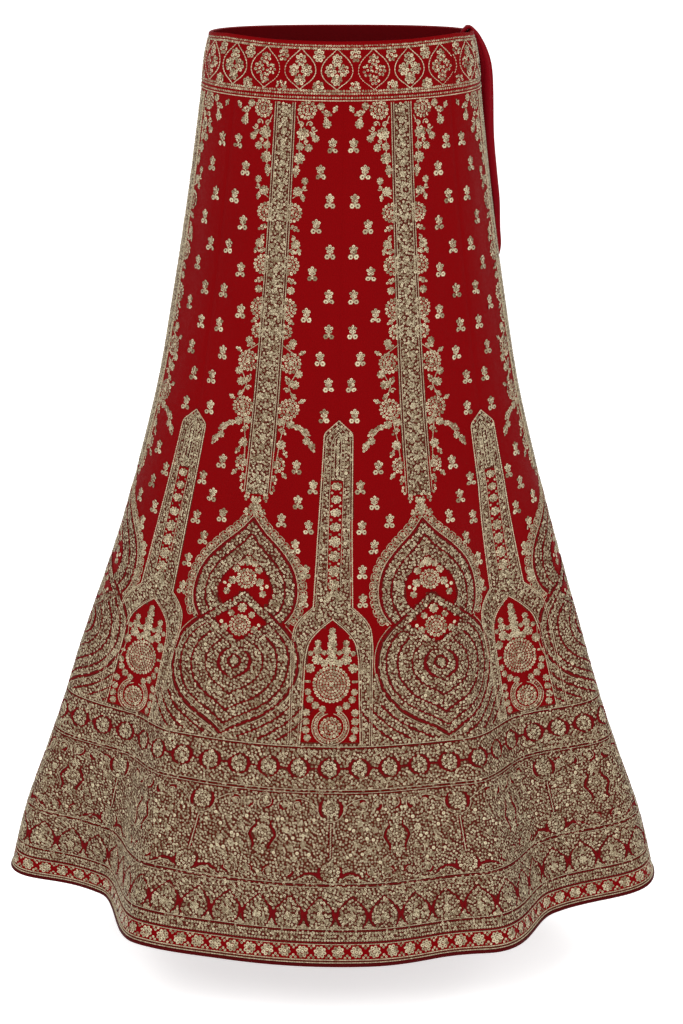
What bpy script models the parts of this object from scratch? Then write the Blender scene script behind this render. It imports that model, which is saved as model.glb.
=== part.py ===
"""Lehenga skirt: six gored panels sewn under a stiff waistband, hanging open as it is worn.

Metres, +Z up, front towards -Y. The origin is the centre of the waist opening, level with the
band's top edge. Lengths down the cloth are measured from that edge, so a seam or a border line
that runs round the skirt lies at one length everywhere, and its height follows from the flare.
"""
import math
from typing import NamedTuple

import bmesh
import bpy
import numpy as np

BAND_DEPTH = 0.060
SKIRT_LENGTH = 1.040
PIPING_DEPTH = 0.0095
SEAM_GAP = 0.0003
PANEL_WALL = 0.0020
BAND_WALL = 0.0028
BAND_STANDS_OUT = 0.0006
PIPING_WALL = 0.0034
PIPING_STANDS_OUT = 0.0008
HEM_LEAN = -0.010
SIDE_RISE = 0.0035
SIDE_RISE_FADES = 0.25
RIM_RISE = ((0.0, 0.0050), (30.0, 0.0052), (45.0, 0.0060), (58.0, 0.0062), (75.0, 0.0030),
            (90.0, 0.0005), (180.0, 0.0))
RIM_RISE_FADES = 0.030
TOP_TURN = 1.2
HEM_TURN = -0.7

EMBROIDERY_HEIGHT = 0.0008
EMBROIDERY_EDGE = 0.0015
BORDER_TOP = 0.7876

LEVELS = 260
ROUND_STEPS = 1440
FULL_TURN = 360.0
PANEL_STEPS = 60

CLOTH_RED = (0.30, 0.008, 0.014, 1.0)
BAND_RED = (0.26, 0.010, 0.012, 1.0)
PIPING_RED = (0.16, 0.006, 0.010, 1.0)
TIE_RED = (0.24, 0.006, 0.016, 1.0)


class Station(NamedTuple):
    """The plan of the skirt at one length down the cloth, before its folds."""

    down: float
    half_width: float
    front: float
    side: float
    back: float


STATIONS = (
    Station(0.000, 0.1465, -0.102, 0.000, 0.103),
    Station(0.020, 0.1515, -0.105, 0.000, 0.109),
    Station(0.060, 0.156, -0.108, 0.000, 0.118),
    Station(0.160, 0.168, -0.113, 0.000, 0.142),
    Station(0.280, 0.185, -0.118, 0.000, 0.160),
    Station(0.400, 0.206, -0.123, 0.000, 0.174),
    Station(0.500, 0.230, -0.129, 0.000, 0.186),
    Station(0.600, 0.257, -0.137, 0.000, 0.199),
    Station(0.700, 0.287, -0.147, 0.000, 0.214),
    Station(0.790, 0.314, -0.159, 0.002, 0.230),
    Station(0.870, 0.340, -0.173, 0.008, 0.246),
    Station(0.950, 0.366, -0.190, 0.018, 0.264),
    Station(1.040, 0.387, -0.211, 0.032, 0.286),
)


class Fold(NamedTuple):
    """A soft fold that deepens towards the hem. Angles are degrees from the front, + to the right.

    A hollow faces the angle `faces`, and a negative depth makes a ridge.
    """

    angle: float
    faces: float
    depth: float
    spread_before: float
    spread_after: float
    starts: float
    growth: float


FOLDS = (
    Fold(-50.0, -12.0, 0.100, 42.0, 14.0, 0.56, 1.6),
    Fold(-34.0, 0.0, -0.016, 10.0, 16.0, 0.66, 2.2),
    Fold(45.0, 10.0, 0.078, 17.0, 40.0, 0.50, 0.8),
    Fold(34.0, 4.0, -0.020, 16.0, 12.0, 0.74, 1.6),
    Fold(24.0, 12.0, 0.022, 18.0, 16.0, 0.70, 1.2),
    Fold(-119.0, -119.0, 0.048, 24.0, 26.0, 0.54, 1.6),
    Fold(114.0, 114.0, 0.054, 22.0, 24.0, 0.56, 1.6),
    Fold(178.0, 178.0, 0.046, 25.0, 25.0, 0.52, 1.6),
    Fold(-150.0, -150.0, -0.012, 18.0, 18.0, 0.62, 1.6),
    Fold(147.0, 147.0, -0.012, 18.0, 18.0, 0.62, 1.6),
    Fold(-92.0, -92.0, -0.017, 30.0, 30.0, 0.58, 1.0),
    Fold(-92.0, -92.0, 0.015, 30.0, 30.0, 0.74, 1.0),
)


class Panel(NamedTuple):
    """One gore, between two seams given as degrees from the front."""

    name: str
    seam_from: float
    seam_to: float


PANELS = (
    Panel("kali_back_left", -180.0, -115.0),
    Panel("kali_side_left", -115.0, -50.0),
    Panel("kali_front_left", -50.0, 0.0),
    Panel("kali_front_right", 0.0, 50.0),
    Panel("kali_side_right", 50.0, 115.0),
    Panel("kali_back_right", 115.0, 180.0),
)


class MotifEdge(NamedTuple):
    """How far the raised embroidery reaches from a panel's middle line and from its seams."""

    down: float
    from_middle: float
    middle_raised: float
    from_seam: float
    seam_raised: float


MOTIF_EDGES = (
    MotifEdge(0.0605, 0.0110, 1.0, 0.0090, 0.0),
    MotifEdge(0.1500, 0.0118, 1.0, 0.0090, 0.0),
    MotifEdge(0.2600, 0.0128, 1.0, 0.0090, 0.0),
    MotifEdge(0.3500, 0.0136, 1.0, 0.0090, 0.0),
    MotifEdge(0.4170, 0.0142, 1.0, 0.0025, 0.0),
    MotifEdge(0.4320, 0.0144, 1.0, 0.0150, 1.0),
    MotifEdge(0.4950, 0.0150, 1.0, 0.0160, 1.0),
    MotifEdge(0.5030, 0.0040, 0.0, 0.0162, 1.0),
    MotifEdge(0.5250, 0.0190, 1.0, 0.0164, 1.0),
    MotifEdge(0.5600, 0.0480, 1.0, 0.0168, 1.0),
    MotifEdge(0.6000, 0.0610, 1.0, 0.0172, 1.0),
    MotifEdge(0.6180, 0.0600, 1.0, 0.0175, 1.0),
    MotifEdge(0.6380, 0.0540, 1.0, 0.0420, 1.0),
    MotifEdge(0.6800, 0.0630, 1.0, 0.0450, 1.0),
    MotifEdge(0.7200, 0.0620, 1.0, 0.0460, 1.0),
    MotifEdge(0.7550, 0.0640, 1.0, 0.0460, 1.0),
    MotifEdge(0.7861, 0.0660, 1.0, 0.0460, 1.0),
)
BORDER_ROWS = (BORDER_TOP, 0.8100, 0.8365, 0.8700, 0.9050, 0.9380, 0.9650, 0.9900, 1.0120, 1.0302)
FIELD_COLUMNS = 4
MIDDLE_COLUMNS = 2

BAND_JOINT_FRONT = 53.0
BAND_JOINT_BACK = -100.0
BAND_ROWS = 3
BAND_COLUMN_DEGREES = 9.0
PIPING_COLUMNS = 22

TIE_STEPS = 46
TIE_SIDES = 14


class RoutePoint(NamedTuple):
    """A point on the tie's middle line, from inside the band, over its edge and down outside.

    The half width runs front to back and the half thickness away from the skirt.
    """

    x: float
    y: float
    z: float
    half_width: float
    half_thickness: float


TIE_ROUTE = (
    RoutePoint(0.1400, 0.0150, -0.0360, 0.0075, 0.0026),
    RoutePoint(0.1376, 0.0160, -0.0120, 0.0075, 0.0026),
    RoutePoint(0.1366, 0.0180, 0.0030, 0.0075, 0.0024),
    RoutePoint(0.1420, 0.0210, 0.0073, 0.0078, 0.0024),
    RoutePoint(0.1500, 0.0250, 0.0000, 0.0082, 0.0036),
    RoutePoint(0.1545, 0.0290, -0.0090, 0.0088, 0.0050),
    RoutePoint(0.1590, 0.0350, -0.0219, 0.0095, 0.0066),
    RoutePoint(0.1622, 0.0395, -0.0350, 0.0100, 0.0076),
    RoutePoint(0.1637, 0.0430, -0.0527, 0.0105, 0.0085),
    RoutePoint(0.1645, 0.0450, -0.0667, 0.0105, 0.0084),
    RoutePoint(0.1673, 0.0470, -0.1235, 0.0105, 0.0075),
    RoutePoint(0.1715, 0.0475, -0.1600, 0.0105, 0.0070),
    RoutePoint(0.1756, 0.0485, -0.1920, 0.0105, 0.0065),
    RoutePoint(0.1778, 0.0505, -0.2265, 0.0098, 0.0055),
    RoutePoint(0.1797, 0.0525, -0.2495, 0.0080, 0.0045),
    RoutePoint(0.1802, 0.0530, -0.2590, 0.0040, 0.0020),
)


def smooth_curve(table_x, table_y, x):
    """A cubic through the table's points, with slopes from its neighbouring rows."""
    table_x, table_y, x = (np.asarray(values, float) for values in (table_x, table_y, x))
    spans = np.diff(table_x)
    secants = np.diff(table_y) / spans
    slopes = np.empty_like(table_y)
    slopes[0], slopes[-1] = secants[0], secants[-1]
    slopes[1:-1] = (secants[:-1] * spans[1:] + secants[1:] * spans[:-1]) / (spans[1:] + spans[:-1])
    row = np.clip(np.searchsorted(table_x, x, side="right") - 1, 0, len(spans) - 1)
    t = (x - table_x[row]) / spans[row]
    rise = t * t * (3.0 - 2.0 * t)
    leave = t * (1.0 - t) ** 2
    arrive = t * t * (t - 1.0)
    ends = (1.0 - rise) * table_y[row] + rise * table_y[row + 1]
    return ends + spans[row] * (leave * slopes[row] + arrive * slopes[row + 1])


def fold_push(degrees, down):
    """How far the folds move the wall across and along at these angles, at one length down."""
    push = np.zeros((len(degrees), 2))
    for fold in FOLDS:
        share = (down - fold.starts) / (SKIRT_LENGTH - fold.starts)
        if share <= 0.0:
            continue
        offset = (degrees - fold.angle + 180.0) % 360.0 - 180.0
        spread = np.where(offset < 0.0, fold.spread_before, fold.spread_after)
        swing = np.clip(offset / spread, -1.0, 1.0)
        reach = fold.depth * share ** fold.growth * 0.5 * (1.0 + np.cos(math.pi * swing))
        faces = math.radians(fold.faces)
        push += np.outer(reach, (-math.sin(faces), math.cos(faces)))
    return push


def level_outline(down, degrees):
    """Plan points of the wall at one length down the cloth, at these angles from the front."""
    downs = [station.down for station in STATIONS]
    half_width, front, side, back = (
        float(smooth_curve(downs, [station[column] for station in STATIONS], down))
        for column in (1, 2, 3, 4))
    sine, cosine = np.sin(np.radians(degrees)), np.cos(np.radians(degrees))
    reach = np.where(cosine >= 0.0, side - front, back - side)
    lean = HEM_LEAN * down / SKIRT_LENGTH
    return np.column_stack([half_width * sine + lean, side - reach * cosine]) + fold_push(degrees, down)


def seam_angles(down):
    """The seams' angles at one length down, with the slight turn that the cloth takes."""
    turn = TOP_TURN + (HEM_TURN - TOP_TURN) * down / SKIRT_LENGTH
    return [panel.seam_from + turn for panel in PANELS] + [180.0 + turn]


class SkirtSurface:
    """The outer face of the cloth, addressed by panel, share of the panel's width and length down."""

    def __init__(self):
        """Lay out every level, then let each line down the cloth fall by its own length."""
        self.levels = np.linspace(0.0, SKIRT_LENGTH, LEVELS + 1)
        degrees = np.linspace(-FULL_TURN, FULL_TURN, 2 * ROUND_STEPS + 1)
        plan, self.widths = [], []
        for down in self.levels:
            outline = level_outline(down, degrees)
            arc = np.concatenate([[0.0], np.cumsum(np.hypot(*np.diff(outline, axis=0).T))])
            seams = np.interp(seam_angles(down), degrees, arc)
            stops = np.concatenate([
                np.linspace(seams[k], seams[k + 1], PANEL_STEPS, endpoint=False)
                for k in range(len(PANELS))] + [seams[-1:]])
            plan.append(np.column_stack([np.interp(stops, arc, outline[:, axis]) for axis in (0, 1)]))
            self.widths.append(np.diff(seams))
        plan = np.array(plan)
        self.widths = np.array(self.widths)
        length_step = self.levels[1]
        run = np.hypot(*np.moveaxis(np.diff(plan, axis=0), -1, 0))
        fall = np.sqrt(np.maximum(length_step ** 2 - run ** 2, (0.3 * length_step) ** 2))
        heights = np.vstack([np.zeros((1, plan.shape[1])), -np.cumsum(fall, axis=0)])
        fade = np.maximum(0.0, 1.0 - self.levels / SIDE_RISE_FADES) ** 2
        reach = np.abs(plan[:, :, 0]) / np.abs(plan[:, :, 0]).max(axis=1, keepdims=True)
        heights += SIDE_RISE * fade[:, None] * reach ** 2
        self.grid = np.dstack([plan, heights])

    def width(self, panel, down):
        """The width of a panel at these lengths down the cloth."""
        return np.interp(down, self.levels, self.widths[:, panel])

    def point(self, panel, share, down):
        """Points of the outer face; share 0 is the panel's first seam and 1 its second."""
        column = (panel + np.asarray(share, float)) * PANEL_STEPS % (PANEL_STEPS * len(PANELS))
        row = np.clip(np.asarray(down, float) / self.levels[1], 0.0, LEVELS - 1e-9)
        left, top = np.floor(column).astype(int), np.floor(row).astype(int)
        right_part, low_part = (column - left)[..., None], (row - top)[..., None]
        upper = self.grid[top, left] * (1 - right_part) + self.grid[top, left + 1] * right_part
        lower = self.grid[top + 1, left] * (1 - right_part) + self.grid[top + 1, left + 1] * right_part
        return upper * (1 - low_part) + lower * low_part

    def normal(self, panel, share, down):
        """Unit normals of the outer face, pointing out of the skirt."""
        share, down = np.asarray(share, float), np.asarray(down, float)
        aside, below = 0.5 / PANEL_STEPS, 0.004
        across = self.point(panel, share + aside, down) - self.point(panel, share - aside, down)
        low, high = np.minimum(down + below, SKIRT_LENGTH), np.maximum(down - below, 0.0)
        along = self.point(panel, share, low) - self.point(panel, share, high)
        facing = np.cross(along, across)
        return facing / np.linalg.norm(facing, axis=-1, keepdims=True)

    def place_at_degrees(self, degrees, down):
        """The panel and the share of its width where an angle from the front lies."""
        angles = np.linspace(-FULL_TURN, FULL_TURN, 2 * ROUND_STEPS + 1)
        outline = level_outline(down, angles)
        arc = np.concatenate([[0.0], np.cumsum(np.hypot(*np.diff(outline, axis=0).T))])
        seams = seam_angles(down)
        degrees = seams[0] + (degrees - seams[0]) % FULL_TURN
        panel = min(int(np.searchsorted(seams, degrees, side="right")) - 1, len(PANELS) - 1)
        start, end, here = np.interp([seams[panel], seams[panel + 1], degrees], angles, arc)
        return panel, float((here - start) / (end - start))


def make_material(name, colour, roughness):
    """A plain cloth finish."""
    material = bpy.data.materials.new(name)
    material.use_nodes = True
    shader = material.node_tree.nodes["Principled BSDF"]
    shader.inputs["Base Color"].default_value = colour
    shader.inputs["Roughness"].default_value = roughness
    shader.inputs["Metallic"].default_value = 0.0
    return material


def add_object(name, build, material):
    """Put a bmesh into the scene as a named object with smooth faces and sharp corners."""
    mesh = bpy.data.meshes.new(name)
    bmesh.ops.recalc_face_normals(build, faces=build.faces)
    build.to_mesh(mesh)
    build.free()
    mesh.materials.append(material)
    mesh.shade_smooth()
    mesh.set_sharp_from_angle(angle=math.radians(40.0))
    item = bpy.data.objects.new(name, mesh)
    bpy.context.collection.objects.link(item)
    return item


def wall_from_grids(name, outer, inner, material):
    """Close two grids of points, rows down and columns across, into one thin wall."""
    rows, columns = outer.shape[:2]
    build = bmesh.new()
    faces = [[[build.verts.new(point) for point in row] for row in grid] for grid in (outer, inner)]
    for side in faces:
        for i in range(rows - 1):
            for j in range(columns - 1):
                build.faces.new((side[i][j], side[i][j + 1], side[i + 1][j + 1], side[i + 1][j]))
    rim = [(0, j) for j in range(columns)] + [(i, columns - 1) for i in range(1, rows)]
    rim += [(rows - 1, j) for j in range(columns - 2, -1, -1)] + [(i, 0) for i in range(rows - 2, 0, -1)]
    for (i, j), (k, m) in zip(rim, rim[1:] + rim[:1]):
        build.faces.new((faces[0][i][j], faces[0][k][m], faces[1][k][m], faces[1][i][j]))
    return add_object(name, build, material)


def panel_columns(width, from_seam, from_middle):
    """Distances across a panel: seam, seam motif's edge, open field, middle motif, and back."""
    middle = 0.5 * width
    first = SEAM_GAP / 2.0
    field = np.linspace(from_seam + EMBROIDERY_EDGE, middle - from_middle - EMBROIDERY_EDGE,
                        FIELD_COLUMNS)
    motif = np.linspace(middle - from_middle, middle, MIDDLE_COLUMNS, endpoint=False)
    half = np.concatenate([[first, from_seam], field, motif])
    return np.concatenate([half, [middle], width - half[::-1]])


def panel_rows(surface, panel):
    """Each row of a panel: its length down, its columns and how high the embroidery is there."""
    field_flags = np.zeros(FIELD_COLUMNS)
    rows = []
    for edge in MOTIF_EDGES:
        width = float(surface.width(panel, edge.down))
        columns = panel_columns(width, edge.from_seam, edge.from_middle)
        half = np.concatenate([np.full(2, edge.seam_raised), field_flags,
                               np.full(MIDDLE_COLUMNS, edge.middle_raised)])
        raised = np.concatenate([half, [edge.middle_raised], half[::-1]])
        rows.append((edge.down, columns, raised))
    last = MOTIF_EDGES[-1]
    for down in BORDER_ROWS:
        width = float(surface.width(panel, down))
        spread = (down - BORDER_TOP) / (SKIRT_LENGTH - BORDER_TOP)
        even_seam = last.from_seam + (width / 9.0 - last.from_seam) * spread
        even_middle = last.from_middle + (width / 6.0 - last.from_middle) * spread
        columns = panel_columns(width, even_seam, even_middle)
        rows.append((down, columns, np.ones(len(columns))))
    return rows


def make_panel(surface, index, material):
    """One gore: a thin wall whose outer face rises where it is embroidered."""
    outer, inner = [], []
    for down, columns, raised in panel_rows(surface, index):
        share = columns / surface.width(index, down)
        downs = np.full(len(share), down)
        points = surface.point(index, share, downs)
        normals = surface.normal(index, share, downs)
        outer.append(points + normals * (EMBROIDERY_HEIGHT * raised)[:, None])
        inner.append(points - normals * PANEL_WALL)
    return wall_from_grids(PANELS[index].name, np.array(outer), np.array(inner), material)


def ring_stretch(surface, degrees, downs, stands_out, thickness):
    """Outer and inner grids of a strip that runs round the skirt between two angles."""
    outer, inner = [], []
    for down in downs:
        places = [surface.place_at_degrees(angle, down) for angle in degrees]
        points = np.array([surface.point(panel, share, down) for panel, share in places])
        normals = np.array([surface.normal(panel, share, down) for panel, share in places])
        outer.append(points + normals * stands_out)
        inner.append(points + normals * (stands_out - thickness))
    return np.array(outer), np.array(inner)


def make_waistband(surface, name, start, end, material):
    """A stretch of the stiff band, from one joint to the other."""
    joint_gap = math.degrees(SEAM_GAP / 2.0 / STATIONS[0].half_width)
    count = max(2, round((end - start) / BAND_COLUMN_DEGREES)) + 1
    angles = np.linspace(start + joint_gap, end - joint_gap, count)
    downs = np.linspace(0.0, BAND_DEPTH, BAND_ROWS + 1)
    outer, inner = ring_stretch(surface, angles, downs, BAND_STANDS_OUT, BAND_WALL)
    turned = np.abs((angles + 180.0) % FULL_TURN - 180.0)
    rise = np.interp(turned, *zip(*RIM_RISE))
    for grid in (outer, inner):
        grid[:, :, 2] += np.outer(np.maximum(0.0, 1.0 - downs / RIM_RISE_FADES), rise)
    return wall_from_grids(name, outer, inner, material)


def make_piping(surface, index, material):
    """The plain folded binding under one gore's edge, with a rounded front."""
    first = SEAM_GAP / 2.0 / surface.width(index, SKIRT_LENGTH)
    shares = np.linspace(first, 1.0 - first, PIPING_COLUMNS)
    top, bottom = SKIRT_LENGTH - PIPING_DEPTH, SKIRT_LENGTH
    profile = ((top, 0.35), (0.5 * (top + bottom), 1.0), (bottom, 0.35))
    outer, inner = [], []
    for down, fullness in profile:
        downs = np.full(len(shares), down)
        points, normals = surface.point(index, shares, downs), surface.normal(index, shares, downs)
        outer.append(points + normals * (EMBROIDERY_HEIGHT + PIPING_STANDS_OUT * fullness))
        inner.append(points - normals * (PIPING_WALL - EMBROIDERY_HEIGHT - PIPING_STANDS_OUT))
    name = PANELS[index].name.replace("kali", "hem_piping")
    return wall_from_grids(name, np.array(outer), np.array(inner), material)


def make_tie(material):
    """The soft cloth tie: an oval section carried along its route."""
    route = np.array(TIE_ROUTE)
    reach = np.concatenate([[0.0], np.cumsum(np.linalg.norm(np.diff(route[:, :3], axis=0), axis=1))])
    stops = np.linspace(0.0, reach[-1], TIE_STEPS)
    path = np.column_stack([smooth_curve(reach, route[:, axis], stops) for axis in range(5)])
    heading = np.gradient(path[:, :3], axis=0)
    heading /= np.linalg.norm(heading, axis=1, keepdims=True)
    build = bmesh.new()
    loops = []
    for row, forward in zip(path, heading):
        centre, half_width, half_thickness = row[:3], row[3], row[4]
        wide = np.array((0.0, 1.0, 0.0)) - forward * forward[1]
        wide /= np.linalg.norm(wide)
        thin = np.cross(forward, wide)
        turns = np.arange(TIE_SIDES) * 2.0 * math.pi / TIE_SIDES
        loops.append([build.verts.new(centre + wide * half_width * math.cos(turn)
                                      + thin * half_thickness * math.sin(turn)) for turn in turns])
    for here, following in zip(loops, loops[1:]):
        for j in range(TIE_SIDES):
            k = (j + 1) % TIE_SIDES
            build.faces.new((here[j], here[k], following[k], following[j]))
    build.faces.new(loops[0])
    build.faces.new(loops[-1])
    return add_object("waist_tie", build, material)


def main():
    """Build the skirt."""
    for item in list(bpy.data.objects):
        bpy.data.objects.remove(item, do_unlink=True)
    surface = SkirtSurface()
    cloth = make_material("red_cloth", CLOTH_RED, 0.75)
    band = make_material("band_cloth", BAND_RED, 0.7)
    binding = make_material("binding_cloth", PIPING_RED, 0.7)
    soft_cloth = make_material("tie_cloth", TIE_RED, 0.8)
    for index in range(len(PANELS)):
        make_panel(surface, index, cloth)
        make_piping(surface, index, binding)
    make_waistband(surface, "waistband_front", BAND_JOINT_BACK, BAND_JOINT_FRONT, band)
    make_waistband(surface, "waistband_back", BAND_JOINT_FRONT, BAND_JOINT_BACK + 360.0, band)
    make_tie(soft_cloth)


main()
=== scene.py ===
"""Dress a lehenga skirt: cloth shells, sequin and gold thread embroidery, floor, light and camera.

Metres, +Z up, front towards -Y. Lengths down the cloth run from the waistband's top edge, and
lengths across it from a kali's middle or from a seam, so the embroidery keeps its size as the
skirt widens.
"""
import logging
import math
from dataclasses import dataclass, field
from enum import Enum
from typing import NamedTuple, Sequence

import bpy
import numpy as np
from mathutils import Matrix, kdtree

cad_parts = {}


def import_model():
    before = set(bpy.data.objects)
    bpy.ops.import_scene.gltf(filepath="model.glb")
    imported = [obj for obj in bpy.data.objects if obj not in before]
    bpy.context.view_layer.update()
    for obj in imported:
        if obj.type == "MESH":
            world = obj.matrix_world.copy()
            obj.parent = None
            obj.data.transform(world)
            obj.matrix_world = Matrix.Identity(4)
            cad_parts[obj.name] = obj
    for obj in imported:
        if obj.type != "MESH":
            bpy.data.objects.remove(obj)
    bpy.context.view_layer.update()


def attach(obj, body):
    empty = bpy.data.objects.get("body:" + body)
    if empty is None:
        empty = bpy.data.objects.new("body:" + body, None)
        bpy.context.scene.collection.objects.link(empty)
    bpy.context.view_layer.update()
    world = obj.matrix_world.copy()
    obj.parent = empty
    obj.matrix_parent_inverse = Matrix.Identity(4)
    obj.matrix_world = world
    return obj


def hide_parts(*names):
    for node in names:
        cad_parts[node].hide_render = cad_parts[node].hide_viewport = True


logger = logging.getLogger("lehenga")
MM = 0.001
BODY = "root"
SEED = 7319


class Station(NamedTuple):
    """The plan of the skirt at one length down the cloth, before its folds."""

    down: float
    half_width: float
    front: float
    side: float
    back: float


class Fold(NamedTuple):
    """A soft fold that deepens towards the hem. Angles are degrees from the front, + to the right."""

    angle: float
    faces: float
    depth: float
    spread_before: float
    spread_after: float
    starts: float
    growth: float


class Kali(NamedTuple):
    """One gore, between two seams given as degrees from the front."""

    name: str
    seam_from: float
    seam_to: float


class Crease(NamedTuple):
    """A soft crease in the cloth: it runs from one place to another, and a minus depth is a trough."""

    kali: int
    share_from: float
    down_from: float
    share_to: float
    down_to: float
    width: float
    depth: float


STATIONS = (
    Station(0.000, 0.1465, -0.102, 0.000, 0.103), Station(0.020, 0.1515, -0.105, 0.000, 0.109),
    Station(0.060, 0.156, -0.108, 0.000, 0.118), Station(0.160, 0.168, -0.113, 0.000, 0.142),
    Station(0.280, 0.185, -0.118, 0.000, 0.160), Station(0.400, 0.206, -0.123, 0.000, 0.174),
    Station(0.500, 0.230, -0.129, 0.000, 0.186),
    Station(0.600, 0.257, -0.137, 0.000, 0.199), Station(0.700, 0.287, -0.147, 0.000, 0.214),
    Station(0.790, 0.314, -0.159, 0.002, 0.230), Station(0.870, 0.340, -0.173, 0.008, 0.246),
    Station(0.950, 0.366, -0.190, 0.018, 0.264), Station(1.040, 0.387, -0.211, 0.032, 0.286),
)
FOLDS = (
    Fold(-50.0, -12.0, 0.100, 42.0, 14.0, 0.56, 1.6), Fold(-34.0, 0.0, -0.016, 10.0, 16.0, 0.66, 2.2),
    Fold(45.0, 10.0, 0.078, 17.0, 40.0, 0.50, 0.8), Fold(34.0, 4.0, -0.020, 16.0, 12.0, 0.74, 1.6),
    Fold(24.0, 12.0, 0.022, 18.0, 16.0, 0.70, 1.2), Fold(-119.0, -119.0, 0.048, 24.0, 26.0, 0.54, 1.6),
    Fold(114.0, 114.0, 0.054, 22.0, 24.0, 0.56, 1.6), Fold(178.0, 178.0, 0.046, 25.0, 25.0, 0.52, 1.6),
    Fold(-150.0, -150.0, -0.012, 18.0, 18.0, 0.62, 1.6), Fold(147.0, 147.0, -0.012, 18.0, 18.0, 0.62, 1.6),
    Fold(-92.0, -92.0, -0.017, 30.0, 30.0, 0.58, 1.0), Fold(-92.0, -92.0, 0.015, 30.0, 30.0, 0.74, 1.0),
)
KALIS = (
    Kali("kali_back_left", -180.0, -115.0), Kali("kali_side_left", -115.0, -50.0),
    Kali("kali_front_left", -50.0, 0.0), Kali("kali_front_right", 0.0, 50.0),
    Kali("kali_side_right", 50.0, 115.0), Kali("kali_back_right", 115.0, 180.0),
)
CREASES = (
    Crease(2, 0.78, 0.07, 0.72, 0.40, 0.016, -0.0016), Crease(3, 0.20, 0.08, 0.24, 0.36, 0.014, 0.0014),
    Crease(3, 0.34, 0.10, 0.30, 0.46, 0.018, -0.0013), Crease(2, 0.25, 0.09, 0.20, 0.42, 0.015, 0.0013),
    Crease(3, 0.80, 0.09, 0.86, 0.44, 0.016, -0.0015), Crease(1, 0.70, 0.08, 0.72, 0.44, 0.020, -0.0022),
    Crease(1, 0.30, 0.09, 0.26, 0.50, 0.024, 0.0024), Crease(4, 0.28, 0.08, 0.30, 0.44, 0.020, -0.0022),
    Crease(4, 0.72, 0.09, 0.76, 0.50, 0.024, 0.0022), Crease(0, 0.20, 0.10, 0.14, 0.52, 0.026, -0.0028),
    Crease(0, 0.74, 0.08, 0.80, 0.50, 0.024, 0.0026), Crease(5, 0.24, 0.08, 0.20, 0.50, 0.026, 0.0026),
    Crease(5, 0.82, 0.10, 0.88, 0.54, 0.022, -0.0028), Crease(2, 0.42, 0.62, 0.36, 1.00, 0.030, -0.0030),
    Crease(2, 0.74, 0.72, 0.80, 1.02, 0.026, 0.0022), Crease(3, 0.30, 0.66, 0.24, 1.02, 0.028, -0.0024),
    Crease(3, 0.62, 0.62, 0.56, 1.00, 0.028, 0.0026), Crease(1, 0.40, 0.60, 0.46, 1.02, 0.030, -0.0032),
    Crease(4, 0.56, 0.62, 0.60, 1.02, 0.032, -0.0032), Crease(0, 0.46, 0.56, 0.42, 1.02, 0.034, 0.0036),
    Crease(5, 0.52, 0.56, 0.56, 1.02, 0.034, 0.0036),
)
BAND_DEPTH = 0.060
SKIRT_LENGTH = 1.040
HEM_LEAN = -0.010
SIDE_RISE = 0.0035
SIDE_RISE_FADES = 0.25
RIM_RISE = ((0.0, 0.0050), (30.0, 0.0052), (45.0, 0.0060), (58.0, 0.0062), (75.0, 0.0030),
            (90.0, 0.0005), (180.0, 0.0))
RIM_RISE_FADES = 0.030
TOP_TURN = 1.2
HEM_TURN = -0.7
LEVELS = 260
ROUND_STEPS = 1440
FULL_TURN = 360.0
PANEL_STEPS = 60


def smooth_curve(table_x: Sequence[float], table_y: Sequence[float], x: np.ndarray) -> np.ndarray:
    """Run a cubic through a table's points, with slopes from its neighbouring rows.

    Args:
        table_x: The rising places of the points.
        table_y: The values there.
        x: Where the curve is wanted.

    Returns:
        The curve's values.
    """
    table_x, table_y, x = (np.asarray(values, float) for values in (table_x, table_y, x))
    spans = np.diff(table_x)
    secants = np.diff(table_y) / spans
    slopes = np.empty_like(table_y)
    slopes[0], slopes[-1] = secants[0], secants[-1]
    slopes[1:-1] = (secants[:-1] * spans[1:] + secants[1:] * spans[:-1]) / (spans[1:] + spans[:-1])
    row = np.clip(np.searchsorted(table_x, x, side="right") - 1, 0, len(spans) - 1)
    t = (x - table_x[row]) / spans[row]
    rise = t * t * (3.0 - 2.0 * t)
    ends = (1.0 - rise) * table_y[row] + rise * table_y[row + 1]
    return ends + spans[row] * (t * (1.0 - t) ** 2 * slopes[row] + t * t * (t - 1.0) * slopes[row + 1])


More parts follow.
